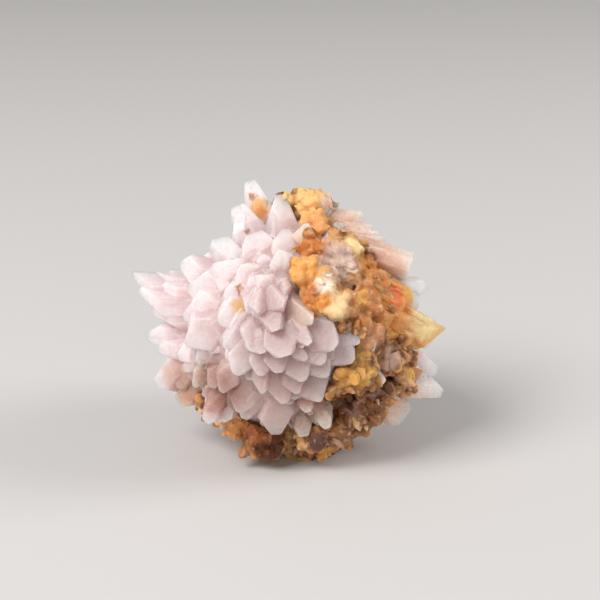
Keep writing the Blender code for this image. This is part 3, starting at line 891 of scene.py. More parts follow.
class CrystalMesh:
    """The crystals of one tint as one mesh in the making, with what the finish reads from them.

    Each corner keeps its place in its own crystal, in millimetres across, through and back from the tip, and
    the crystal's tone, stain and a number of its own.
    """

    FLAT_SHARE = 0.40
    ROOT_SCALE = 0.95

    def __init__(self, seed: int) -> None:
        """Starts with no crystal.

        Args:
            seed: what the crystals' tones are drawn from.
        """
        self.chance = random.Random(seed)
        self.points: list[Vector] = []
        self.faces: list[list[int]] = []
        self.growth: list[float] = []
        self.marks: list[float] = []

    @staticmethod
    def _cut(bm: bmesh.types.BMesh, point: Vector, normal: Vector) -> None:
        """Takes away what lies beyond a plane, and closes the cut with one flat face.

        Args:
            bm: the closed mesh.
            point: a point of the plane.
            normal: the direction from the plane to what goes.
        """
        found = bmesh.ops.bisect_plane(bm, geom=bm.verts[:] + bm.edges[:] + bm.faces[:], dist=1e-5,
                                       plane_co=point, plane_no=normal, clear_outer=True)
        rim = [item for item in found["geom_cut"] if isinstance(item, bmesh.types.BMEdge)]
        if rim:
            bmesh.ops.contextual_create(bm, geom=rim)

    def _single(self, shoot: Shoot) -> bmesh.types.BMesh:
        """A crystal that stands on its root along +Z, with its broad side along X and its edges rounded.

        Args:
            shoot: the crystal.

        Returns:
            Its closed mesh.
        """
        shape, length = shoot.shape, shoot.length
        half_width, half_thick = 0.5 * shape.width, 0.5 * shape.thick
        flat = self.FLAT_SHARE * half_width
        outline = ((half_width, 0.0), (flat, half_thick), (-flat, half_thick),
                   (-half_width, 0.0), (-flat, -half_thick), (flat, -half_thick))
        bm = bmesh.new()
        root = [bm.verts.new((x * self.ROOT_SCALE, y * self.ROOT_SCALE, 0.0)) for x, y in outline]
        top = [bm.verts.new((x, y, length)) for x, y in outline]
        bm.faces.new(root[::-1])
        bm.faces.new(top)
        for i in range(len(outline)):
            j = (i + 1) % len(outline)
            bm.faces.new((root[i], root[j], top[j], top[i]))
        ridge = Vector((shape.skew * half_width, shape.lean * half_thick, length))
        for side in (1.0, -1.0):
            end = ridge + Vector((side * 0.5 * shape.ridge, 0.0, 0.0))
            self._cut(bm, end, Vector((side * shape.keen, 0.0, 1.0)))
            self._cut(bm, ridge, Vector((0.0, side * shape.bevel, 1.0)))
        shown = [edge for edge in bm.edges if max(vert.co.z for vert in edge.verts) > 1e-4]
        bmesh.ops.bevel(bm, geom=shown, offset=shoot.rounding, segments=shoot.cuts, affect="EDGES",
                        profile=0.5, clamp_overlap=True)
        return bm

    def take(self, bm: bmesh.types.BMesh, place: Matrix, growth: Callable[[Vector], Triple],
             marks: Callable[[Vector], Triple]) -> None:
        """Takes a mesh in, and frees it.

        Args:
            bm: the mesh.
            place: where it goes.
            growth: the place in the crystal that goes with a point of it.
            marks: the tone, the stain and the crystal's number that go with a point of it.
        """
        first = len(self.points)
        bm.verts.index_update()
        self.points += [place @ vert.co for vert in bm.verts]
        for face in bm.faces:
            self.faces.append([first + vert.index for vert in face.verts])
            for vert in face.verts:
                self.growth += growth(vert.co)
                self.marks += marks(vert.co)
        bm.free()

    def add(self, shoot: Shoot) -> None:
        """Adds one crystal.

        Args:
            shoot: the crystal.
        """
        side, through, shape, length = shoot.side, shoot.through, shoot.shape, shoot.length
        off_edge = side * (shape.skew * 0.5 * shape.width) + through * (shape.lean * 0.5 * shape.thick)
        turn = Matrix((side, through, shoot.axis)).transposed().to_4x4()
        tone, own = self.chance.random(), self.chance.random()
        self.take(self._single(shoot), Matrix.Translation(shoot.root - off_edge) @ turn,
                  lambda spot: (spot.x, spot.y, length - spot.z), lambda spot: (tone, shoot.stain, own))

    def thing(self, name: str) -> bpy.types.Object:
        """The mesh as an object, in metres.

        Args:
            name: what the object is called.

        Returns:
            The object.
        """
        mesh = bpy.data.meshes.new(name)
        mesh.from_pydata([tuple(point * MM) for point in self.points], [], self.faces)
        for label, values in (("growth", self.growth), ("marks", self.marks)):
            kept = mesh.attributes.new(label, "FLOAT_VECTOR", "CORNER")
            kept.data.foreach_set("vector", np.array(values, np.float32))
        return added(name, mesh)


@dataclass(frozen=True)
class Placing:
    """The crystals of the front view. Unturned, a broad side faces that view as far as its axis lets it."""

    root_depth: float = 5.6
    fan_length: float = 7.5

    def _axis_and_root(self, crystal: Crystal) -> tuple[Vector, Vector]:
        """Where a crystal points and where it starts.

        Args:
            crystal: the crystal.

        Returns:
            Its direction and its root.
        """
        tip = crystal.tip
        if crystal in FRONT_LEFT + PETALS:
            axis = (tip - FAN).normalized()
            return axis, tip - axis * min(self.fan_length, (tip - FAN).length)
        if crystal.heading is None:
            axis = (tip - HEART).normalized()
            return axis, HEART + axis * self.root_depth
        across, up, toward = crystal.heading
        axis = (VIEW.right * across + VIEW.up * up + VIEW.toward * toward).normalized()
        return axis, tip - axis * crystal.length

    def shoots(self) -> Iterator[Shoot]:
        """The crystals that were placed one by one.

        Yields:
            Each crystal in the ball's own frame.
        """
        for crystal in PLACED + SHEAVES:
            axis, root = self._axis_and_root(crystal)
            broad = turned(axis.cross(VIEW.toward).normalized(), axis, math.radians(crystal.turn))
            yield Shoot(root, crystal.tip, broad, crystal.shape, crystal.tint, crystal.stain,
                        habit=crystal.habit)


@dataclass
class Filling:
    """The crystals that fill every direction which the placed crystals and knobs leave free.

    clearance is the angle in radians that stays free round a placed one. In the crust a crystal is stubby,
    or a knob stands in its place. knobs holds those knobs, each by its centre, its outward direction and its
    radius.
    """

    seed: int = 11
    count: int = 195
    sway: float = 0.10
    clearance: float = 0.21
    root_depth: float = 5.6
    reaches: Span = (11.6, 13.6)
    widths: Span = (2.6, 3.8)
    thicknesses: Span = (0.60, 0.80)
    skew: float = 0.3
    keens: Span = (1.6, 2.8)
    ridge: float = 0.3
    lowest_direction: float = -0.90
    lowest_tip: float = 1.0
    crust_drop: float = 1.6
    crust_thins: float = 0.25
    crust_knobs: float = 0.55
    knob_depth: float = 7.4
    knob_per_width: float = 0.55
    knobs: list[tuple[Vector, Vector, float]] = field(default_factory=list)

    def shoots(self) -> Iterator[Shoot]:
        """Finds the crystals, and notes the knobs on the way.

        Yields:
            Each crystal.
        """
        chance = random.Random(self.seed)
        taken = [(crystal.tip - HEART).normalized() for crystal in PLACED]
        taken += [(knob.centre - HEART).normalized() for knob in KNOBS]
        for direction in swayed_directions(self.count, self.sway, chance):
            width, share = chance.uniform(*self.widths), chance.uniform(*self.thicknesses)
            turn, skew = chance.uniform(0.0, 180.0), chance.uniform(-self.skew, self.skew)
            keen, reach, lot = chance.uniform(*self.keens), chance.uniform(*self.reaches), chance.random()
            crowded = any(direction.angle(other) < self.clearance for other in taken)
            if direction.z < self.lowest_direction or crowded:
                continue
            crust = CRUST.share(direction)
            if lot < self.crust_knobs * crust:
                centre = HEART + direction * (self.knob_depth + 0.5 * width)
                self.knobs.append((centre, direction, self.knob_per_width * width))
                continue
            tip = HEART + direction * min(reach - self.crust_drop * crust, OUTLINE.reach(direction))
            width *= 1.0 - self.crust_thins * crust
            shape = Shape(width, share * width, self.ridge * width, skew, keen=keen)
            level = Vector((0.0, 0.0, 1.0)).cross(direction).normalized()
            across = turned(level, direction, math.radians(turn))
            if tip.z > self.lowest_tip:
                yield Shoot(HEART + direction * self.root_depth, tip, across, shape,
                            STAINING.tint(direction, crust), STAINING.rust * crust)


@dataclass(frozen=True)
class Plates:
    """How plates differ from the crystal on whose broad sides they lie.

    Widths, thicknesses and keen and bevel ends are ranges of shares of the crystal's own. The first plate
    ends back from its tip, and each next one ends a step further back.
    """

    widths: Span = (0.42, 0.80)
    thicknesses: Span = (1.03, 1.14)
    aside: float = 0.12
    kept_skew: float = 0.6
    skew: float = 0.35
    kept_lean: float = 0.4
    ridge: float = 0.3
    keens: Span = (0.8, 1.2)
    bevels: Span = (1.4, 2.4)
    step: float = 0.9
    slope: float = 0.6
    most_back: float = 0.6
    rounding: float = 0.04

    def on(self, host: Shoot, chance: random.Random) -> Iterator[Shoot]:
        """The plates on a crystal.

        Args:
            host: the crystal.
            chance: what the differences are drawn from.

        Yields:
            Each plate.
        """
        company, shape = COMPANY[host.habit], host.shape
        for i in range(company.plates):
            width = shape.width * chance.uniform(*self.widths)
            skew = shape.skew * self.kept_skew + chance.uniform(-self.skew, self.skew)
            aside = host.body + shape.width * chance.uniform(-self.aside, self.aside) + 0.5 * skew * width
            back = chance.uniform(*company.plate_back) + self.step * i + self.slope * shape.keen * abs(aside)
            plate = Shape(width, shape.thick * chance.uniform(*self.thicknesses), self.ridge * width, skew,
                          self.kept_lean * shape.lean, shape.keen * chance.uniform(*self.keens),
                          shape.bevel * chance.uniform(*self.bevels))
            offset = host.side * aside
            tip = host.tip + offset - host.axis * min(back, self.most_back * host.length)
            yield replace(host, root=host.root + offset, tip=tip, shape=plate, rounding=self.rounding, cuts=1)


@dataclass(frozen=True)
class SideShoots:
    """How the shoots beside a crystal differ from it, as ranges of shares of its own sizes.

    A shoot ends where the crystal's own end slopes down to it, and leans out by a share of its habit's tilt.
    """

    leans: Span = (0.5, 1.1)
    keens: Span = (0.7, 1.2)
    bevels: Span = (0.8, 1.2)
    skew: float = 0.5
    ridge: float = 0.28
    shoulder: float = 0.25
    slope: float = 0.5
    out_tilts: Span = (-0.3, 1.0)
    through_tilt: float = 0.6
    swing: float = 3.0
    root_share: float = 0.85
    most_back: float = 0.75
    rounding: float = 0.05

    def beside(self, host: Shoot, chance: random.Random) -> Iterator[Shoot]:
        """The shoots beside a crystal, on one side and the other in turn.

        Args:
            host: the crystal.
            chance: what the differences are drawn from.

        Yields:
            Each shoot.
        """
        company, shape, axis = COMPANY[host.habit], host.shape, host.axis
        side = 1.0 if chance.random() < 0.5 else -1.0
        for _ in range(company.shoots):
            side = -side
            width = shape.width * chance.uniform(*company.widths)
            room = max((0.5 + company.spill) * shape.width - 0.5 * width, 0.0)
            aside = host.body + side * min(shape.width * chance.uniform(*company.beside), room)
            deep = shape.thick * chance.uniform(-company.through, company.through)
            beyond = max(abs(aside) + self.shoulder * width - 0.5 * shape.ridge, 0.0)
            back = chance.uniform(*company.back) + self.slope * shape.keen * beyond
            out = host.side * side * math.radians(chance.uniform(*self.out_tilts) * company.tilt)
            sway = chance.uniform(-self.through_tilt, self.through_tilt)
            out += host.through * math.radians(sway * company.tilt)
            offset = host.side * aside + host.through * deep
            thick = shape.thick * chance.uniform(*company.thicknesses)
            skew, lean = chance.uniform(-self.skew, self.skew), shape.lean * chance.uniform(*self.leans)
            keen, bevel = shape.keen * chance.uniform(*self.keens), shape.bevel * chance.uniform(*self.bevels)
            shoot = Shape(width, thick, self.ridge * width, skew, lean, keen, bevel)
            swing = math.radians(chance.uniform(-self.swing, self.swing) * company.tilt)
            tip = host.root + offset + (axis + out) * (host.length - min(back, self.most_back * host.length))
            yield replace(host, root=host.root + offset * self.root_share, tip=tip, shape=shoot,
                          across=turned(host.across, axis, swing), rounding=self.rounding, cuts=1)


@dataclass(frozen=True)
class Undergrowth:
    """Smaller crystals low between the others, side by side with the nearest ones."""

    seed: int = 31
    count: int = 430
    sway: float = 0.08
    widths: Span = (2.0, 3.4)
    thicknesses: Span = (0.50, 0.75)
    turn: float = 25.0
    skew: float = 0.4
    lean: float = 0.3
    ridge: float = 0.2
    keens: Span = (1.1, 2.0)
    reaches: Span = (0.80, 0.96)
    length: float = 5.5
    below_outline: float = 1.0
    lowest_direction: float = -0.85
    most_crust: float = 0.8
    rounding: float = 0.05

    def shoots(self, mains: Sequence[Shoot]) -> Iterator[Shoot]:
        """The small crystals between the main ones.

        Args:
            mains: the main crystals.

        Yields:
            Each small crystal.
        """
        chance = random.Random(self.seed)
        for direction in swayed_directions(self.count, self.sway, chance):
            near = sorted(mains, key=lambda other: -(other.tip - HEART).normalized().dot(direction))[:3]
            width, share = chance.uniform(*self.widths), chance.uniform(*self.thicknesses)
            turn, skew = chance.uniform(-self.turn, self.turn), chance.uniform(-self.skew, self.skew)
            tall = sum((other.tip - HEART).length for other in near)
            reach = chance.uniform(*self.reaches) * tall / len(near)
            keen = chance.uniform(*self.keens)
            crust = CRUST.share(direction)
            if crust > self.most_crust or direction.z < self.lowest_direction:
                continue
            shape = Shape(width, share * width, self.ridge * width, skew, self.lean, keen)
            axis = (near[0].axis * 2.0 + near[1].axis + near[2].axis).normalized()
            across = turned(near[0].across, axis, math.radians(turn))
            tip = HEART + direction * min(reach, OUTLINE.reach(direction) - self.below_outline)
            yield Shoot(tip - axis * self.length, tip, across, shape, STAINING.tint(direction, crust),
                        STAINING.rust * crust, rounding=self.rounding, cuts=1)


@dataclass(frozen=True)
class CommonRoot:
    """The crystals' common root, a lumpy ball that rises between them where they stand tall.

    back is how far behind the crystals' tips its finish takes it to be, so that it wears the painted shade of
    their roots.
    """

    detail: int = 4
    least_radius: float = 7.4
    share: float = 0.87
    crust_sinks: float = 0.3
    lump: float = 0.5
    lump_pitch: float = 4.0
    back: float = 6.0
    tone: float = 0.3
    rust: float = 0.4

    def add(self, mesh: CrystalMesh, mains: Sequence[Shoot]) -> None:
        """Adds the root to a mesh, under the main crystals.

        Args:
            mesh: the mesh that takes it in.
            mains: the main crystals.
        """
        bm = bmesh.new()
        bmesh.ops.create_icosphere(bm, subdivisions=self.detail, radius=1.0)
        tall = [((shoot.tip - HEART).normalized(), (shoot.tip - HEART).length) for shoot in mains]
        for vert in bm.verts:
            direction = vert.co.normalized()
            near = sorted(tall, key=lambda other: -other[0].dot(direction))[:4]
            height = min(sum(height for _, height in near) / len(near), OUTLINE.reach(direction))
            rise = self.share * height * (1.0 - self.crust_sinks * CRUST.share(direction))
            rise += self.lump * noise.noise(direction * self.lump_pitch)
            vert.co = direction * max(self.least_radius, rise)
        mesh.take(bm, Matrix.Translation(HEART), lambda spot: (spot.x, spot.y, self.back + spot.z),
                  lambda spot: (self.tone, self.rust * CRUST.share(spot.normalized()), 0.5))


@dataclass
class CrystalSpray:
    """All the ball's crystals: the placed ones, those that fill the rest, and what grew against them."""

    seed: int = 23
    filling: Filling = field(default_factory=Filling)
    meshes: dict[Tint, CrystalMesh] = field(default_factory=dict)

    def grow(self) -> None:
        """Makes every crystal."""
        self.meshes = {tint: CrystalMesh(i) for i, tint in enumerate(Tint)}
        chance = random.Random(self.seed)
        mains = [*Placing().shoots(), *self.filling.shoots()]
        for main in mains:
            keeps = replace(main.shape, width=main.shape.width * COMPANY[main.habit].own)
            company = [*Plates().on(main, chance), *SideShoots().beside(main, chance)]
            for shoot in (replace(main, shape=keeps), *company):
                self.meshes[shoot.tint].add(shoot)
        for shoot in Undergrowth().shoots(mains):
            self.meshes[shoot.tint].add(shoot)
        CommonRoot().add(self.meshes[Tint.LAVENDER], mains)

    def pieces(self, finishes: dict[Tint, bpy.types.Material]) -> list[bpy.types.Object]:
        """The crystals of each tint, grown together into one closed surface.

        Args:
            finishes: each tint's material.

        Returns:
            One object for each tint.
        """
        made = []
        for tint, mesh in self.meshes.items():
            thing = mesh.thing(tint.value)
            grown_together("grown_together", thing, finishes[tint])
            made.append(thing)
        return made


# Crust


@dataclass(frozen=True)
class OchreCrust:
    """The lumpy ochre crust, with the lumps under the ball that the flat spot is cut across."""

    bed_radius: float = 7.4
    bed_detail: int = 5
    bed_rise: float = 2.0
    bed_lumps: float = 0.6
    bed_lump_size: float = 0.22
    bed_sinks: float = 3.6
    knob_seed: int = 5
    knob_detail: int = 3
    knob_roughness: float = 0.55
    knob_grain: float = 1.9
    knob_squat: float = 0.15
    small_knob: Span = (0.40, 0.60)
    small_knob_reach: Span = (0.70, 0.95)
    small_knob_rise: float = 0.25
    foot_height: float = 3.4
    foot_radius: float = 5.0
    foot_knobs: int = 10
    foot_knob_sway: float = 0.3
    foot_knob_ring: Span = (2.9, 4.3)
    foot_knob_heights: Span = (0.5, 2.6)
    foot_knob_radii: Span = (1.5, 2.5)
    skin_pitch: float = 0.17
    nodule_seed: int = 3
    nodule_depth: float = 7.0
    nodule_spacing: float = 1.40
    nodule_crowding: float = 1.6
    nodule_radii: Span = (0.25, 0.72)
    lump_size: float = 1.3
    lump_height: float = 0.24
    grain_size: float = 0.42
    grain_height: float = 0.08

    def _knob(self, bm: bmesh.types.BMesh, centre: Vector, outward: Vector, radius: float) -> None:
        """Adds a squat knob.

        Args:
            bm: the mesh that takes it in.
            centre: its centre.
            outward: the direction along which it is squat.
            radius: its radius.
        """
        knob = bmesh.ops.create_icosphere(bm, subdivisions=self.knob_detail, radius=1.0)
        for vert in knob["verts"]:
            out = 1.0 + self.knob_roughness * noise.noise(vert.co * self.knob_grain + centre)
            spot = vert.co.normalized() * radius * out
            vert.co = centre + spot - outward * self.knob_squat * spot.dot(outward)

    def _lumps(self, bm: bmesh.types.BMesh) -> None:
        """Adds the placed knobs, each with a smaller one against it.

        Args:
            bm: the mesh that takes them in.
        """
        chance = random.Random(self.knob_seed)
        for knob in KNOBS:
            outward = (knob.centre - HEART).normalized()
            self._knob(bm, knob.centre, outward, knob.radius)
            side = turned(outward.orthogonal().normalized(), outward, chance.uniform(0.0, math.tau))
            reach = knob.radius * chance.uniform(*self.small_knob_reach)
            small = knob.centre + (side + outward * self.small_knob_rise) * reach
            self._knob(bm, small, outward, knob.radius * chance.uniform(*self.small_knob))

    def _foot(self, bm: bmesh.types.BMesh) -> None:
        """Adds the lumps under the ball.

        Args:
            bm: the mesh that takes them in.
        """
        chance = random.Random(self.knob_seed)
        self._knob(bm, Vector((0.0, 0.0, self.foot_height)), Vector((0.0, 0.0, -1.0)), self.foot_radius)
        for i in range(self.foot_knobs):
            sway = chance.uniform(-self.foot_knob_sway, self.foot_knob_sway)
            angle = math.tau * (i + sway) / self.foot_knobs
            outward = Vector((math.cos(angle), math.sin(angle), 0.0))
            centre = outward * chance.uniform(*self.foot_knob_ring)
            centre.z = chance.uniform(*self.foot_knob_heights)
            self._knob(bm, centre, outward, chance.uniform(*self.foot_knob_radii))

    def _bed(self, bm: bmesh.types.BMesh) -> None:
        """Adds what the crust's knobs sit on. Where there is no crust, it stays deep inside the crystals.

        Args:
            bm: the mesh that takes it in.
        """
        bed = bmesh.ops.create_icosphere(bm, subdivisions=self.bed_detail, radius=1.0)
        for vert in bed["verts"]:
            direction = vert.co.normalized()
            share = CRUST.share(direction)
            proud = self.bed_rise * share + self.bed_lumps * noise.noise(direction / self.bed_lump_size)
            vert.co = HEART + direction * (self.bed_radius + proud - self.bed_sinks * (1.0 - share) ** 2)

    def piece(self, fill_knobs: Sequence[tuple[Vector, Vector, float]],
              finish: bpy.types.Material) -> bpy.types.Object:
        """Makes the crust.

        Args:
            fill_knobs: centre, outward direction and radius of the knobs that stand in for crystals.
            finish: the crust's material.

        Returns:
            The crust as one closed mesh.
        """
        bm = bmesh.new()
        self._bed(bm)
        self._lumps(bm)
        self._foot(bm)
        for centre, outward, radius in fill_knobs:
            self._knob(bm, centre, outward, radius)
        bmesh.ops.scale(bm, vec=(MM, MM, MM), verts=bm.verts)
        mesh = bpy.data.meshes.new("ochre_crust")
        bm.to_mesh(mesh)
        bm.free()
        crust = added("ochre_crust", mesh)
        self._nodules(finish).run(crust)
        skin = crust.modifiers.new("one_skin", "REMESH")
        skin.mode = "VOXEL"
        skin.voxel_size = self.skin_pitch * MM
        settle(crust)
        self._relief(finish).run(crust)
        return crust

    def _nodules(self, finish: bpy.types.Material) -> GrowthTree:
        """The tree that strews small round nodules over the knobs.

        Args:
            finish: the crust's material.

        Returns:
            The tree.
        """
        tree = GrowthTree("crust_nodules")
        least = tree.size("Least Radius", "Float", self.nodule_radii[0] * MM)
        most = tree.size("Greatest Radius", "Float", self.nodule_radii[1] * MM)
        seed = tree.size("Seed", "Int", self.nodule_seed)
        points = tree.points(self.nodule_depth, self.nodule_spacing, self.nodule_crowding, seed)
        ball = tree.value("GeometryNodeMeshIcoSphere", None, {"Radius": 1.0, "Subdivisions": 2}, "Mesh")
        strewn = tree.value("GeometryNodeInstanceOnPoints", None,
                            {"Points": tree.wire(points, "Points"), "Instance": ball,
                             "Scale": tree.chance(least, most, seed)})
        tree.deliver(tree.joined((tree.geometry(), strewn)), finish)
        return tree

    def _relief(self, finish: bpy.types.Material) -> GrowthTree:
        """The tree that gives the crust its pits, grains and flat spot.

        Args:
            finish: the crust's material.

        Returns:
            The tree.
        """
        tree = GrowthTree("crust_relief")
        lump_size = tree.size("Lump Size", "Float", self.lump_size * MM)
        lump_height = tree.size("Lump Height", "Float", self.lump_height * MM)
        grain_size = tree.size("Grain Size", "Float", self.grain_size * MM)
        grain_height = tree.size("Grain Height", "Float", self.grain_height * MM)
        lumps = tree.noise(tree.place(), lump_size, 3.0)
        sockets = {"Vector": tree.place(), "Scale": 1.0 / grain_size, "Smoothness": 0.25}
        cells = tree.value("ShaderNodeTexVoronoi", {"feature": "SMOOTH_F1"}, sockets, "Distance")
        height = (lumps - 0.5) * 2.0 * lump_height + (0.45 - cells) * grain_height
        normal = tree.value("GeometryNodeInputNormal", None, None, "Normal")
        raised = tree.value("GeometryNodeSetPosition", None,
                            {"Geometry": tree.geometry(), "Offset": tree.scaled(normal, height)})
        cut = tree.vector("MAXIMUM", tree.place(), (-1.0, -1.0, 0.0))
        flat = tree.value("GeometryNodeSetPosition", None, {"Geometry": raised, "Position": cut})
        tree.deliver(flat, finish)
        return tree


@dataclass(frozen=True)
class Druse:
    """The small crystals that grew on the crust, thick under the ball and sparse over its shoulder.

    kinds are the length, width and thickness of the crystals before they are scaled, in millimetres.
    """

    seed: int = 17
    depth: float = 8.0
    spacing: float = 0.60
    crowding: float = 1.3
    sizes: Span = (0.55, 1.90)
    kinds: tuple[Triple, ...] = ((0.35, 1.10, 0.70), (0.28, 0.90, 0.75), (0.48, 0.80, 0.55))
    root_depth: float = 0.7
    sway: float = 0.6
    thick_below: Span = (13.5, 8.5)
    thick_share: float = 0.35
    patch_pitch: float = 330.0
    patch_edge: Span = (0.50, 0.76)
    clear_of_floor: Span = (0.7, 1.6)

    def _seedling(self, length: float, width: float, thick: float) -> bpy.types.Object:
        """One small crystal that stands on the origin.

        Args:
            length: how far its tip is above the origin.
            width: its width.
            thick: its thickness.

        Returns:
            Its object.
        """
        maker = CrystalMesh(0)
        root, tip = Vector((0.0, 0.0, -self.root_depth)), Vector((0.0, 0.0, length))
        shape = Shape(width, thick, ridge=0.3 * width, skew=0.2, lean=0.1, keen=1.8)
        maker.add(Shoot(root, tip, Vector((1.0, 0.0, 0.0)), shape, Tint.ROSE, stain=0.4, rounding=0.04,
                        cuts=1))
        return maker.thing("seedling")

    def _crowd(self, tree: GrowthTree) -> Wire:
        """How thick the crystals stand.

        Args:
            tree: the tree that strews them.

        Returns:
            The share of them that stands at each place.
        """
        height = tree.part(tree.place(), "Z")
        low = tree.fade(height, self.thick_below[0] * MM, self.thick_below[1] * MM)
        patches = tree.noise(tree.place(), 1.0 / self.patch_pitch, 1.0)
        thick = tree.fade(low * self.thick_share + patches, *self.patch_edge)
        return thick * tree.fade(height, self.clear_of_floor[0] * MM, self.clear_of_floor[1] * MM)

    def _turn(self, tree: GrowthTree, normal: Wire, seed: Wire) -> Wire:
        """Each crystal's turn: out of the crust and away from the heart, swayed, and spun by chance.

        Args:
            tree: the tree that strews them.
            normal: the crust's normal at each of them.
            seed: what the chance starts from.

        Returns:
            The turn of each.
        """
        outward = tree.vector("NORMALIZE", tree.vector("SUBTRACT", tree.place(), tuple(HEART * MM)))
        sway = tree.chance_vector(-self.sway, self.sway, seed + 1)
        aim = tree.vector("ADD", tree.vector("ADD", normal, outward), sway)
        turn = tree.value("FunctionNodeAlignRotationToVector", {"axis": "Z"}, {"Vector": aim}, "Rotation")
        angle = tree.chance(0.0, math.tau, seed + 2)
        spin = tree.value("FunctionNodeAxisAngleToRotation", None, {"Axis": (0.0, 0.0, 1.0), "Angle": angle},
                          "Rotation")
        return tree.value("FunctionNodeRotateRotation", {"rotation_space": "LOCAL"},
                          {"Rotation": turn, "Rotate By": spin}, "Rotation")

    def _marked(self, tree: GrowthTree, strewn: Wire, seed: Wire) -> Wire:
        """Gives each crystal three numbers of its own, which the finish reads as marks.

        Args:
            tree: the tree that strews them.
            strewn: the crystals, as instances.
            seed: what the chance starts from.

        Returns:
            The crystals, as one mesh.
        """
        kept = tree.stored(strewn, "INSTANCE", "lot", tree.chance_vector(0.0, 1.0, seed + 4))
        plain = tree.value("GeometryNodeRealizeInstances", None, {"Geometry": kept})
        lot = tree.value("GeometryNodeInputNamedAttribute", {"data_type": "FLOAT_VECTOR"}, {"Name": "lot"},
                         "Attribute")
        return tree.stored(plain, "CORNER", "marks", lot)

    def piece(self, crust: bpy.types.Object, finish: bpy.types.Material) -> bpy.types.Object:
        """Grows the druse on the crust.

        Args:
            crust: the crust's finished object.
            finish: the druse's material.

        Returns:
            The small crystals as one closed mesh.
        """
        seedlings = [self._seedling(*kind) for kind in self.kinds]
        tree = GrowthTree("crust_druse")
        least = tree.size("Least Size", "Float", self.sizes[0])
        most = tree.size("Greatest Size", "Float", self.sizes[1])
        seed = tree.size("Seed", "Int", self.seed)
        points = tree.points(self.depth, self.spacing, self.crowding, seed, self._crowd(tree))
        lot = tree.chance(0.0, 1.0, seed + 3)
        shapes = []
        for i, seedling in enumerate(seedlings):
            kind = tree.size(f"Kind {i}", "Object", seedling)
            shape = tree.value("GeometryNodeObjectInfo", None, {"Object": kind}, "Geometry")
            shapes.append(tree.value("GeometryNodeGeometryToInstance", None, {"Geometry": shape}))
        strewn = tree.value("GeometryNodeInstanceOnPoints", None, {
            "Points": tree.wire(points, "Points"), "Instance": tree.joined(shapes), "Pick Instance": True,
            "Rotation": self._turn(tree, tree.wire(points, "Normal"), seed),
            "Scale": least + lot * lot * (most - least)})
        tree.deliver(self._marked(tree, strewn, seed), finish)
        druse = added("crust_druse", crust.data.copy())
        tree.run(druse)
        for seedling in seedlings:
            bpy.data.objects.remove(seedling, do_unlink=True)
        grown_together("druse_grown_together", druse, finish)
        return druse


# Finishes


class FrontSkin:
    """The ball's surface as the front view sees it, on which a place in that view finds its depth."""

    REACH = 30.0

    def __init__(self, meshes: Sequence[CrystalMesh], crust: bpy.types.Object) -> None:
        """Reads the crystals and the crust.

        Args:
            meshes: the crystals of each tint.
            crust: the crust's object.
        """
        points = [tuple(vert.co * PER_METRE) for vert in crust.data.vertices]
        faces = [tuple(face.vertices) for face in crust.data.polygons]
        for mesh in meshes:
            first = len(points)
            points += [tuple(point) for point in mesh.points]
            faces += [tuple(first + corner for corner in face) for face in mesh.faces]
        self._tree = BVHTree.FromPolygons(points, faces)

    def spot(self, across: float, up: float) -> Vector:
        """The nearest point of the surface to the eye at a place in the front view.

        Args:
            across: millimetres right of the ball's middle.
            up: millimetres above it.

        Returns:
            The point, in millimetres.
        """
        start, end = VIEW.point(across, up, self.REACH), VIEW.point(across, up, -self.REACH)
        found = self._tree.ray_cast(start, (end - start).normalized())[0]
        return found if found is not None else VIEW.point(across, up, 0.0)


@dataclass(frozen=True)
class Patch:
    """A coloured place on the surface, by its middle in the front view, its radius and how strong it is."""

    across: float
    up: float
    radius: float
    colour: Colour
    strength: float = 1.0


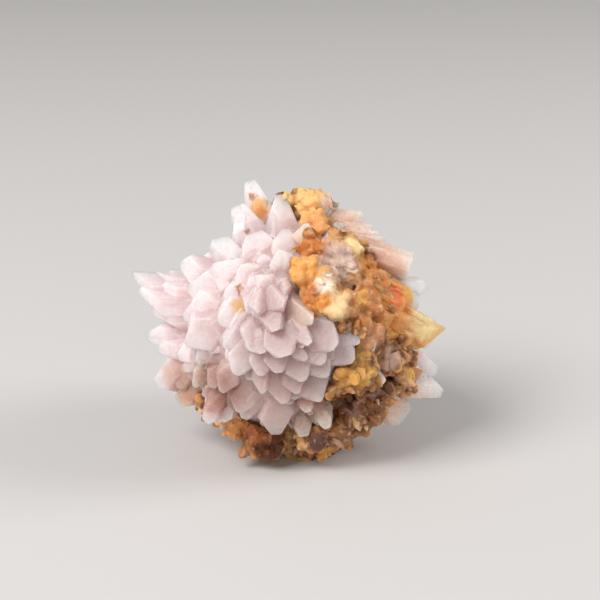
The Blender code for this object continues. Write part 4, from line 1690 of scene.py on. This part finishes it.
class FinishGraph(Graph):
    """A material's node tree, with what the ball's finishes share.

    A patch is gone at the greater of PATCH_ENDS and full at the smaller, as shares of its radius.
    """

    PATCH_ENDS = (1.25, 0.55)

    def __init__(self, material: bpy.types.Material) -> None:
        """Empties a material and places its surface in millimetres.

        Args:
            material: the material.
        """
        material.use_nodes = True
        material.node_tree.nodes.clear()
        super().__init__(material.node_tree)
        place = self.value("ShaderNodeTexCoord", None, None, "Object")
        self.place = self.vector("MULTIPLY", place, (PER_METRE, PER_METRE, PER_METRE))

    def stirred(self, size: float, reach: float) -> Wire:
        """The surface's places, stirred by noise.

        Args:
            size: the noise's size.
            reach: how far it stirs them at most.

        Returns:
            The stirred places.
        """
        sockets = {"Vector": self.place, "Scale": 1.0 / size, "Detail": 3.0}
        stir = self.value("ShaderNodeTexNoise", None, sockets, "Color")
        apart = self.vector("SUBTRACT", stir, (0.5, 0.5, 0.5))
        return self.vector("ADD", self.place, self.vector("MULTIPLY", apart, (2.0 * reach,) * 3))

    def attribute(self, name: str) -> Wire:
        """The three numbers that the mesh keeps under a name."""
        return self.value("ShaderNodeAttribute", {"attribute_name": name}, None, "Vector")

    def drawn_out(self, growth: Wire, shares: Triple, apart: Wire) -> Wire:
        """A crystal's own places, drawn out by shares, and set apart from those of the other crystals."""
        return self.vector("ADD", self.vector("MULTIPLY", growth, shares), apart)

    def bump(self, height: Wire, strength: float, reach: float) -> Wire:
        """The normal of a surface that a height from 0 to 1 raises by up to reach, in millimetres."""
        sockets = {"Height": height, "Strength": strength, "Distance": reach * MM}
        return self.value("ShaderNodeBump", None, sockets)

    def washed(self, colour: Wire, other: Any, pattern: Wire, span: Span, strength: float) -> Wire:
        """A colour with a wash of another over it.

        Args:
            colour: the colour beneath.
            other: the colour of the wash.
            pattern: what thins and thickens the wash.
            span: the pattern's values where there is no wash and where it is strongest.
            strength: how strong it is there.

        Returns:
            The colour.
        """
        return self.blend(self.fade(pattern, *span) * strength, colour, other)

    def patched(self, colour: Wire, patches: Sequence[Patch], skin: FrontSkin, size: float,
                reach: float) -> Wire:
        """A colour with patches painted over it.

        Args:
            colour: the colour beneath.
            patches: the patches, the first one lowest.
            skin: where the patches find their depth.
            size: the size of the waves in their edges.
            reach: how far those waves reach.

        Returns:
            The colour.
        """
        place = self.stirred(size, reach)
        for patch in patches:
            away = self.distance(place, tuple(skin.spot(patch.across, patch.up)))
            ends = (self.PATCH_ENDS[0] * patch.radius, self.PATCH_ENDS[1] * patch.radius)
            colour = self.washed(colour, patch.colour, away, ends, patch.strength)
        return colour

    def surface(self, sockets: dict[str, Any]) -> None:
        """Ends the tree in one shader."""
        shader = self.value("ShaderNodeBsdfPrincipled", {"subsurface_method": "RANDOM_WALK"}, sockets)
        self.node("ShaderNodeOutputMaterial", None, {"Surface": shader})


PEACH = paint(244, 206, 176)
ORANGE_STAIN = paint(238, 172, 98)
BROWN_SPECK = paint(168, 116, 66)

CRYSTAL_STAINS_LIGHT_AND_SHADE = (
    # Painted shade: the next five patches darken the middle, the lower middle and the hollows between the
    # roots at the lower left, where shade falls.
    Patch(-1.5, -8.6, 5.0, paint(176, 140, 128), 0.60),
    Patch(1.2, -2.8, 6.6, paint(170, 138, 136), 0.60),
    Patch(-10.5, -6.4, 2.4, paint(204, 168, 156), 0.60),
    Patch(-7.6, -7.2, 3.2, paint(150, 98, 74), 0.75),
    Patch(-9.6, -7.4, 2.2, paint(172, 120, 96), 0.60),
    # Painted light: the next two near-white patches lighten crystals at the right that lie out of the key
    # light.
    Patch(12.2, 2.1, 1.9, paint(253, 250, 250), 0.9),
    Patch(13.4, -6.2, 2.2, paint(248, 234, 234), 0.7),
    # The crystals' own stains and specks.
    Patch(-10.6, -9.2, 2.4, paint(224, 172, 146), 0.6),
    Patch(0.6, 7.4, 1.3, PEACH, 0.7),
    Patch(0.2, 4.0, 1.3, PEACH, 0.6),
    Patch(1.1, 0.2, 1.6, PEACH, 0.5),
    Patch(-3.3, 9.9, 1.15, ORANGE_STAIN, 0.85),
    Patch(-3.0, 9.5, 0.75, paint(206, 138, 72), 0.7),
    Patch(-3.9, 11.2, 0.48, BROWN_SPECK, 0.9),
    Patch(-5.2, 0.7, 0.75, paint(230, 192, 124), 0.75),
    Patch(-5.1, 2.3, 0.42, BROWN_SPECK, 0.8),
    Patch(-4.5, 7.9, 0.30, BROWN_SPECK, 0.7),
    Patch(-1.9, 7.2, 0.32, BROWN_SPECK, 0.6),
)

GOLD_STAINS = (
    Patch(9.9, 1.5, 1.3, paint(232, 112, 54), 0.9),
    Patch(11.1, 1.5, 0.8, paint(240, 176, 88), 0.8),
    Patch(7.8, -1.2, 1.8, paint(158, 88, 32), 0.7),
    Patch(10.2, -3.0, 1.4, paint(188, 118, 46), 0.6),
    Patch(12.6, -0.9, 1.9, paint(250, 218, 166), 0.8),
)


@dataclass(frozen=True)
class CrystalFinish:
    """Milky glassy crystal, veiled along its growth and stained near the crust, with painted light and shade:
    paler towards the tips, which stand in the light, and darker towards the roots in the crevices' shade.

    Sizes are in millimetres. A pattern along the growth is drawn out by a share of its size. stain_share is
    the rust that every crystal has, and streaks is how strong the threads along it are. deep is painted shade
    at the roots and the darker tone of veils and clouds; tip is painted light at the tips and the paler tone
    of veils and threads.
    """

    name: str
    deep: Colour
    body: Colour
    tip: Colour
    stain: Colour
    dark_stain: Colour
    stain_share: float
    streaks: float
    patches: tuple[Patch, ...]
    pitting: float = 0.0
    roughness: float = 0.20
    glow_depth: float = 4.2
    glow_radius: Triple = (1.0, 0.80, 0.78)
    far_apart: Triple = (61.0, 37.0, 83.0)
    shade_back: float = 7.0
    lit_back: float = 3.0
    veil_size: float = 0.7
    cloud_size: float = 2.6
    thread_size: float = 0.20
    rust_size: float = 1.3
    line_size: float = 0.11
    step_size: float = 0.45
    pit_size: float = 0.42
    relief: float = 0.10

    def _colour(self, graph: FinishGraph, growth: Wire, apart: Wire) -> Wire:
        """The crystal's colour before rust and patches.

        Args:
            graph: the material's graph.
            growth: the place in the crystal.
            apart: what sets a crystal's patterns apart from the next one's.

        Returns:
            The colour.
        """
        back = graph.part(growth, "Z")
        veils = graph.noise(graph.drawn_out(growth, (1.0, 1.0, 0.16), apart), self.veil_size, 3.0, 0.6)
        clouds = graph.noise(graph.place, self.cloud_size, 3.0, 0.55)
        threads = graph.noise(graph.drawn_out(growth, (1.0, 1.0, 0.03), apart), self.thread_size, 2.0, 0.6)
        # Painted shade and light: deep towards the roots, which lie in the crevices, and tip towards the
        # tips, which stand in the light.
        colour = graph.blend(graph.fade(back, self.shade_back, 1.0), self.deep, self.body)
        colour = graph.washed(colour, self.tip, back, (self.lit_back, 0.0), 0.8)
        colour = graph.washed(colour, self.tip, veils, (0.48, 0.66), 0.65)
        colour = graph.washed(colour, self.deep, veils, (0.44, 0.28), 0.45)
        colour = graph.washed(colour, self.deep, clouds, (0.50, 0.70), 0.35)
        colour = graph.washed(colour, self.dark_stain, threads, (0.50, 0.66), self.streaks)
        return graph.washed(colour, self.tip, threads, (0.46, 0.30), self.streaks)

    def dress(self, material: bpy.types.Material, skin: FrontSkin) -> None:
        """Gives the material its nodes.

        Args:
            material: the material.
            skin: where its patches find their depth.
        """
        graph = FinishGraph(material)
        growth, marks = graph.attribute("growth"), graph.attribute("marks")
        tone, stained, number = (graph.part(marks, axis) for axis in "XYZ")
        far = {axis: number * pitch for axis, pitch in zip("XYZ", self.far_apart)}
        apart = graph.value("ShaderNodeCombineXYZ", None, far)
        colour = self._colour(graph, growth, apart)
        rust = graph.noise(graph.place, self.rust_size, 4.0, 0.62)
        reach = stained * 0.8 + self.stain_share
        rusty = graph.fade(rust + reach * 0.5, 0.60, 0.90)
        colour = graph.blend(rusty * 0.8, colour, self.stain)
        colour = graph.washed(colour, self.dark_stain, rust + reach * 0.42, (0.82, 1.04), 0.7)
        # The patches paint stains, painted shade in the middle and the hollows, and painted light on crystals
        # at the right.
        colour = graph.patched(colour, self.patches, skin, size=0.6, reach=0.6)
        colour = graph.scaled(colour, tone * 0.12 + 0.90)

        lines = graph.noise(graph.drawn_out(growth, (1.0, 1.0, 0.03), apart), self.line_size, 2.0)
        steps = graph.noise(graph.drawn_out(growth, (0.35, 0.35, 1.0), apart), self.step_size, 2.0)
        pits = graph.fade(graph.noise(graph.place, self.pit_size, 2.0), 0.52, 0.60)
        height = lines * 0.5 + graph.fade(steps, 0.48, 0.54) * 0.25 - pits * self.pitting
        rough = self.roughness + graph.fade(steps, 0.40, 0.66) * 0.16 + rusty * 0.18
        normal = graph.bump(height, 0.75, self.relief)
        graph.surface({"Base Color": colour, "Roughness": rough, "Normal": normal, "IOR": 1.46,
                       "Subsurface Weight": 0.92, "Subsurface Radius": self.glow_radius,
                       "Subsurface Scale": self.glow_depth * MM})


CRUST_PATCHES = (
    Patch(5.5, -9.9, 4.6, paint(122, 70, 32), 0.78),
    Patch(3.0, -11.2, 1.7, paint(176, 114, 56), 0.8),
    Patch(8.6, -7.6, 1.6, paint(146, 112, 98), 0.7),
    Patch(5.6, -9.2, 1.1, paint(150, 116, 102), 0.7),
    Patch(1.0, 11.0, 2.8, paint(240, 194, 128)),
    Patch(3.5, 10.4, 1.3, paint(240, 208, 186)),
    Patch(1.9, 8.4, 1.9, paint(232, 168, 102)),
    Patch(1.9, 6.1, 1.6, paint(206, 126, 58)),
    Patch(1.0, 4.2, 1.9, paint(234, 172, 94)),
    Patch(1.6, 1.2, 1.5, paint(204, 130, 70)),
    Patch(4.3, 5.0, 2.0, paint(214, 190, 178)),
    Patch(5.9, 6.6, 1.1, paint(246, 220, 160)),
    Patch(7.2, 4.7, 1.2, paint(196, 126, 52)),
    Patch(5.7, 2.6, 1.3, paint(236, 196, 152)),
    Patch(3.1, 2.9, 1.2, paint(244, 222, 202)),
    Patch(4.6, 0.7, 1.5, paint(242, 208, 158)),
    Patch(2.8, 0.9, 0.8, paint(222, 148, 64)),
    Patch(7.4, 0.6, 2.6, paint(186, 124, 70)),
    Patch(8.2, 2.8, 1.3, paint(196, 116, 52)),
    Patch(6.6, 1.4, 0.8, paint(214, 160, 76)),
    Patch(7.8, -2.4, 1.4, paint(206, 150, 112)),
    Patch(6.1, -3.9, 1.1, paint(172, 130, 58)),
    Patch(5.0, -6.3, 1.3, paint(196, 138, 62)),
    Patch(6.7, -6.2, 1.3, paint(206, 152, 66)),
    Patch(11.0, -4.8, 1.8, paint(118, 66, 30)),
    Patch(9.3, -4.4, 1.3, paint(182, 148, 130)),
    Patch(11.0, -6.3, 1.0, paint(232, 180, 98)),
    Patch(1.6, -10.4, 1.9, paint(196, 140, 92)),
    Patch(-6.4, -11.2, 2.6, paint(220, 154, 88)),
    Patch(2.4, -12.6, 1.3, paint(104, 60, 48)),
    Patch(3.1, -13.5, 0.9, paint(204, 146, 72)),
)

AMBER_FOOT = (
    Patch(-3.4, -12.4, 2.6, paint(138, 72, 22), 0.9),
    Patch(-1.9, -13.0, 1.7, paint(84, 32, 6), 0.9),
)


@dataclass(frozen=True)
class CrustFinish:
    """Earthy crust in ochres and browns, placed one by one and mottled by noise, that lets a little light in.
    """

    wave_size: float = 1.4
    wave_reach: float = 0.9
    base: Colour = paint(206, 154, 96)
    pale: Colour = paint(244, 218, 176)
    dark: Colour = paint(112, 62, 26)
    lilac: Colour = paint(226, 196, 186)
    mottle_size: float = 1.9
    speck_size: float = 0.55
    grit_size: float = 0.16
    grit_height: float = 0.08
    veil_size: float = 0.3
    veil_height: float = 0.05

    def ground(self, graph: FinishGraph, skin: FrontSkin) -> Wire:
        """The crust's colour before its grains.

        Args:
            graph: the material's graph.
            skin: where its patches find their depth.

        Returns:
            The colour.
        """
        mottle = graph.noise(graph.place, self.mottle_size, 4.0, 0.6)
        colour = graph.blend(graph.fade(mottle, 0.44, 0.62), self.base, self.dark)
        return graph.patched(colour, CRUST_PATCHES, skin, self.wave_size, self.wave_reach)

    def dress(self, material: bpy.types.Material, skin: FrontSkin) -> None:
        """Gives the crust's material its nodes.

        Args:
            material: the material.
            skin: where its patches find their depth.
        """
        graph = FinishGraph(material)
        specks = graph.noise(graph.place, self.speck_size, 4.0, 0.66)
        colour = graph.washed(self.ground(graph, skin), self.pale, specks, (0.52, 0.70), 0.45)
        colour = graph.washed(colour, self.dark, specks, (0.46, 0.30), 0.5)
        colour = graph.patched(colour, AMBER_FOOT, skin, self.wave_size, self.wave_reach)
        grit = graph.noise(graph.place, self.grit_size, 3.0, 0.65)
        rough = 0.45 + graph.fade(specks, 0.3, 0.7) * 0.35
        graph.surface({"Base Color": colour, "Roughness": rough,
                       "Normal": graph.bump(grit, 0.6, self.grit_height), "Subsurface Weight": 0.6,
                       "Subsurface Radius": (1.0, 0.55, 0.3), "Subsurface Scale": 0.9 * MM})

    def dress_druse(self, material: bpy.types.Material, skin: FrontSkin) -> None:
        """Gives the druse's material its nodes: the crust's colours, clearer and often paler.

        Args:
            material: the material.
            skin: where its patches find their depth.
        """
        graph = FinishGraph(material)
        lilac, pale, tone = (graph.part(graph.attribute("marks"), axis) for axis in "XYZ")
        colour = graph.washed(self.ground(graph, skin), self.lilac, lilac, (0.70, 1.0), 0.4)
        colour = graph.washed(colour, self.pale, pale, (0.75, 1.0), 0.35)
        colour = graph.patched(colour, AMBER_FOOT, skin, self.wave_size, self.wave_reach)
        colour = graph.scaled(colour, tone * 0.3 + 0.85)
        veils = graph.noise(graph.place, self.veil_size, 3.0, 0.6)
        graph.surface({"Base Color": colour, "Roughness": 0.25 + veils * 0.3,
                       "Normal": graph.bump(veils, 0.3, self.veil_height), "Subsurface Weight": 0.8,
                       "Subsurface Radius": (1.0, 0.6, 0.4), "Subsurface Scale": 0.8 * MM})


# Studio


@dataclass
class Studio:
    """A pale floor and soft light, with the key light at the upper left as in the front view."""

    floor_size: float = 3.0
    floor_colour: Colour = paint(205, 204, 204)
    warmth: Triple = (1.0, 0.965, 0.93)
    key_power: float = 2.2
    key_size: float = 0.26
    key_place: Triple = (-0.27, -0.19, 0.36)
    fill_power: float = 0.34
    fill_size: float = 0.30
    fill_place: Triple = (0.04, -0.50, 0.16)
    kick_power: float = 0.70
    kick_size: float = 0.16
    kick_place: Triple = (0.33, 0.02, 0.21)
    sky: Colour = (0.86, 0.85, 0.84, 1.0)
    sky_strength: float = 0.38

    def _floor(self) -> None:
        """Lays the floor."""
        bm = bmesh.new()
        bmesh.ops.create_grid(bm, x_segments=1, y_segments=1, size=0.5 * self.floor_size)
        mesh = bpy.data.meshes.new("floor")
        bm.to_mesh(mesh)
        bm.free()
        made = bpy.data.materials.new("pale_floor")
        made.use_nodes = True
        shader = made.node_tree.nodes["Principled BSDF"]
        shader.inputs["Base Color"].default_value = self.floor_colour
        shader.inputs["Roughness"].default_value = 0.8
        mesh.materials.append(made)
        added("floor", mesh)

    def _light(self, name: str, place: Sequence[float], power: float, size: float) -> None:
        """Hangs a soft square light that shines at the ball's heart.

        Args:
            name: what it is called.
            place: where it hangs, in metres.
            power: its power, in watts.
            size: the length of its side, in metres.
        """
        data = bpy.data.lights.new(name, "AREA")
        data.energy, data.size, data.color = power, size, self.warmth
        light = added(name, data)
        light.location = place
        light.rotation_euler = (HEART * MM - Vector(place)).to_track_quat("-Z", "Y").to_euler()

    def build(self) -> None:
        """Makes the floor, the lights and the sky."""
        self._floor()
        self._light("key", self.key_place, self.key_power, self.key_size)
        self._light("fill", self.fill_place, self.fill_power, self.fill_size)
        self._light("kick", self.kick_place, self.kick_power, self.kick_size)
        world = bpy.data.worlds.new("sky")
        world.use_nodes = True
        background = world.node_tree.nodes["Background"]
        background.inputs["Color"].default_value = self.sky
        background.inputs["Strength"].default_value = self.sky_strength
        bpy.context.scene.world = world
        bpy.context.scene.view_settings.view_transform = "Standard"


# Each crystal finish's tip colour is painted light and its deep colour painted shade; body lies between them.
FINISHES = {
    Tint.LAVENDER: CrystalFinish(
        "lavender_crystal", deep=paint(210, 182, 182), body=paint(228, 208, 210), tip=paint(242, 230, 232),
        stain=paint(236, 192, 150), dark_stain=paint(190, 132, 90), stain_share=0.0, streaks=0.06,
        patches=CRYSTAL_STAINS_LIGHT_AND_SHADE),
    Tint.ROSE: CrystalFinish(
        "rose_crystal", deep=paint(210, 154, 134), body=paint(236, 196, 180), tip=paint(246, 222, 210),
        stain=paint(240, 196, 140), dark_stain=paint(188, 120, 70), stain_share=0.04, streaks=0.08,
        patches=CRYSTAL_STAINS_LIGHT_AND_SHADE, pitting=0.95),
    Tint.GOLD: CrystalFinish(
        "golden_crystal", deep=paint(176, 98, 36), body=paint(220, 136, 60), tip=paint(240, 184, 112),
        stain=paint(196, 116, 42), dark_stain=paint(138, 72, 26), stain_share=0.12, streaks=0.26,
        patches=GOLD_STAINS),
}


def main() -> None:
    """Builds the ball's looks and its studio."""
    VIEW.camera()
    spray = CrystalSpray()
    spray.grow()
    dressed = {tint: bpy.data.materials.new(finish.name) for tint, finish in FINISHES.items()}
    crust_dress, druse_dress = bpy.data.materials.new("ochre_crust"), bpy.data.materials.new("crust_druse")
    crust = OchreCrust().piece(spray.filling.knobs, crust_dress)
    pieces = [*spray.pieces(dressed), crust, Druse().piece(crust, druse_dress)]
    skin = FrontSkin(list(spray.meshes.values()), crust)
    for tint, finish in FINISHES.items():
        finish.dress(dressed[tint], skin)
    CrustFinish().dress(crust_dress, skin)
    CrustFinish().dress_druse(druse_dress, skin)
    for piece in pieces:
        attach(piece, BODY)
        triangles = sum(len(face.vertices) - 2 for face in piece.data.polygons)
        log.info("%s: %d triangles", piece.name, triangles)
    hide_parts(NODE)
    Studio().build()


if __name__ == "__main__":
    logging.basicConfig(level=logging.INFO, format="%(name)s %(message)s")
    main()
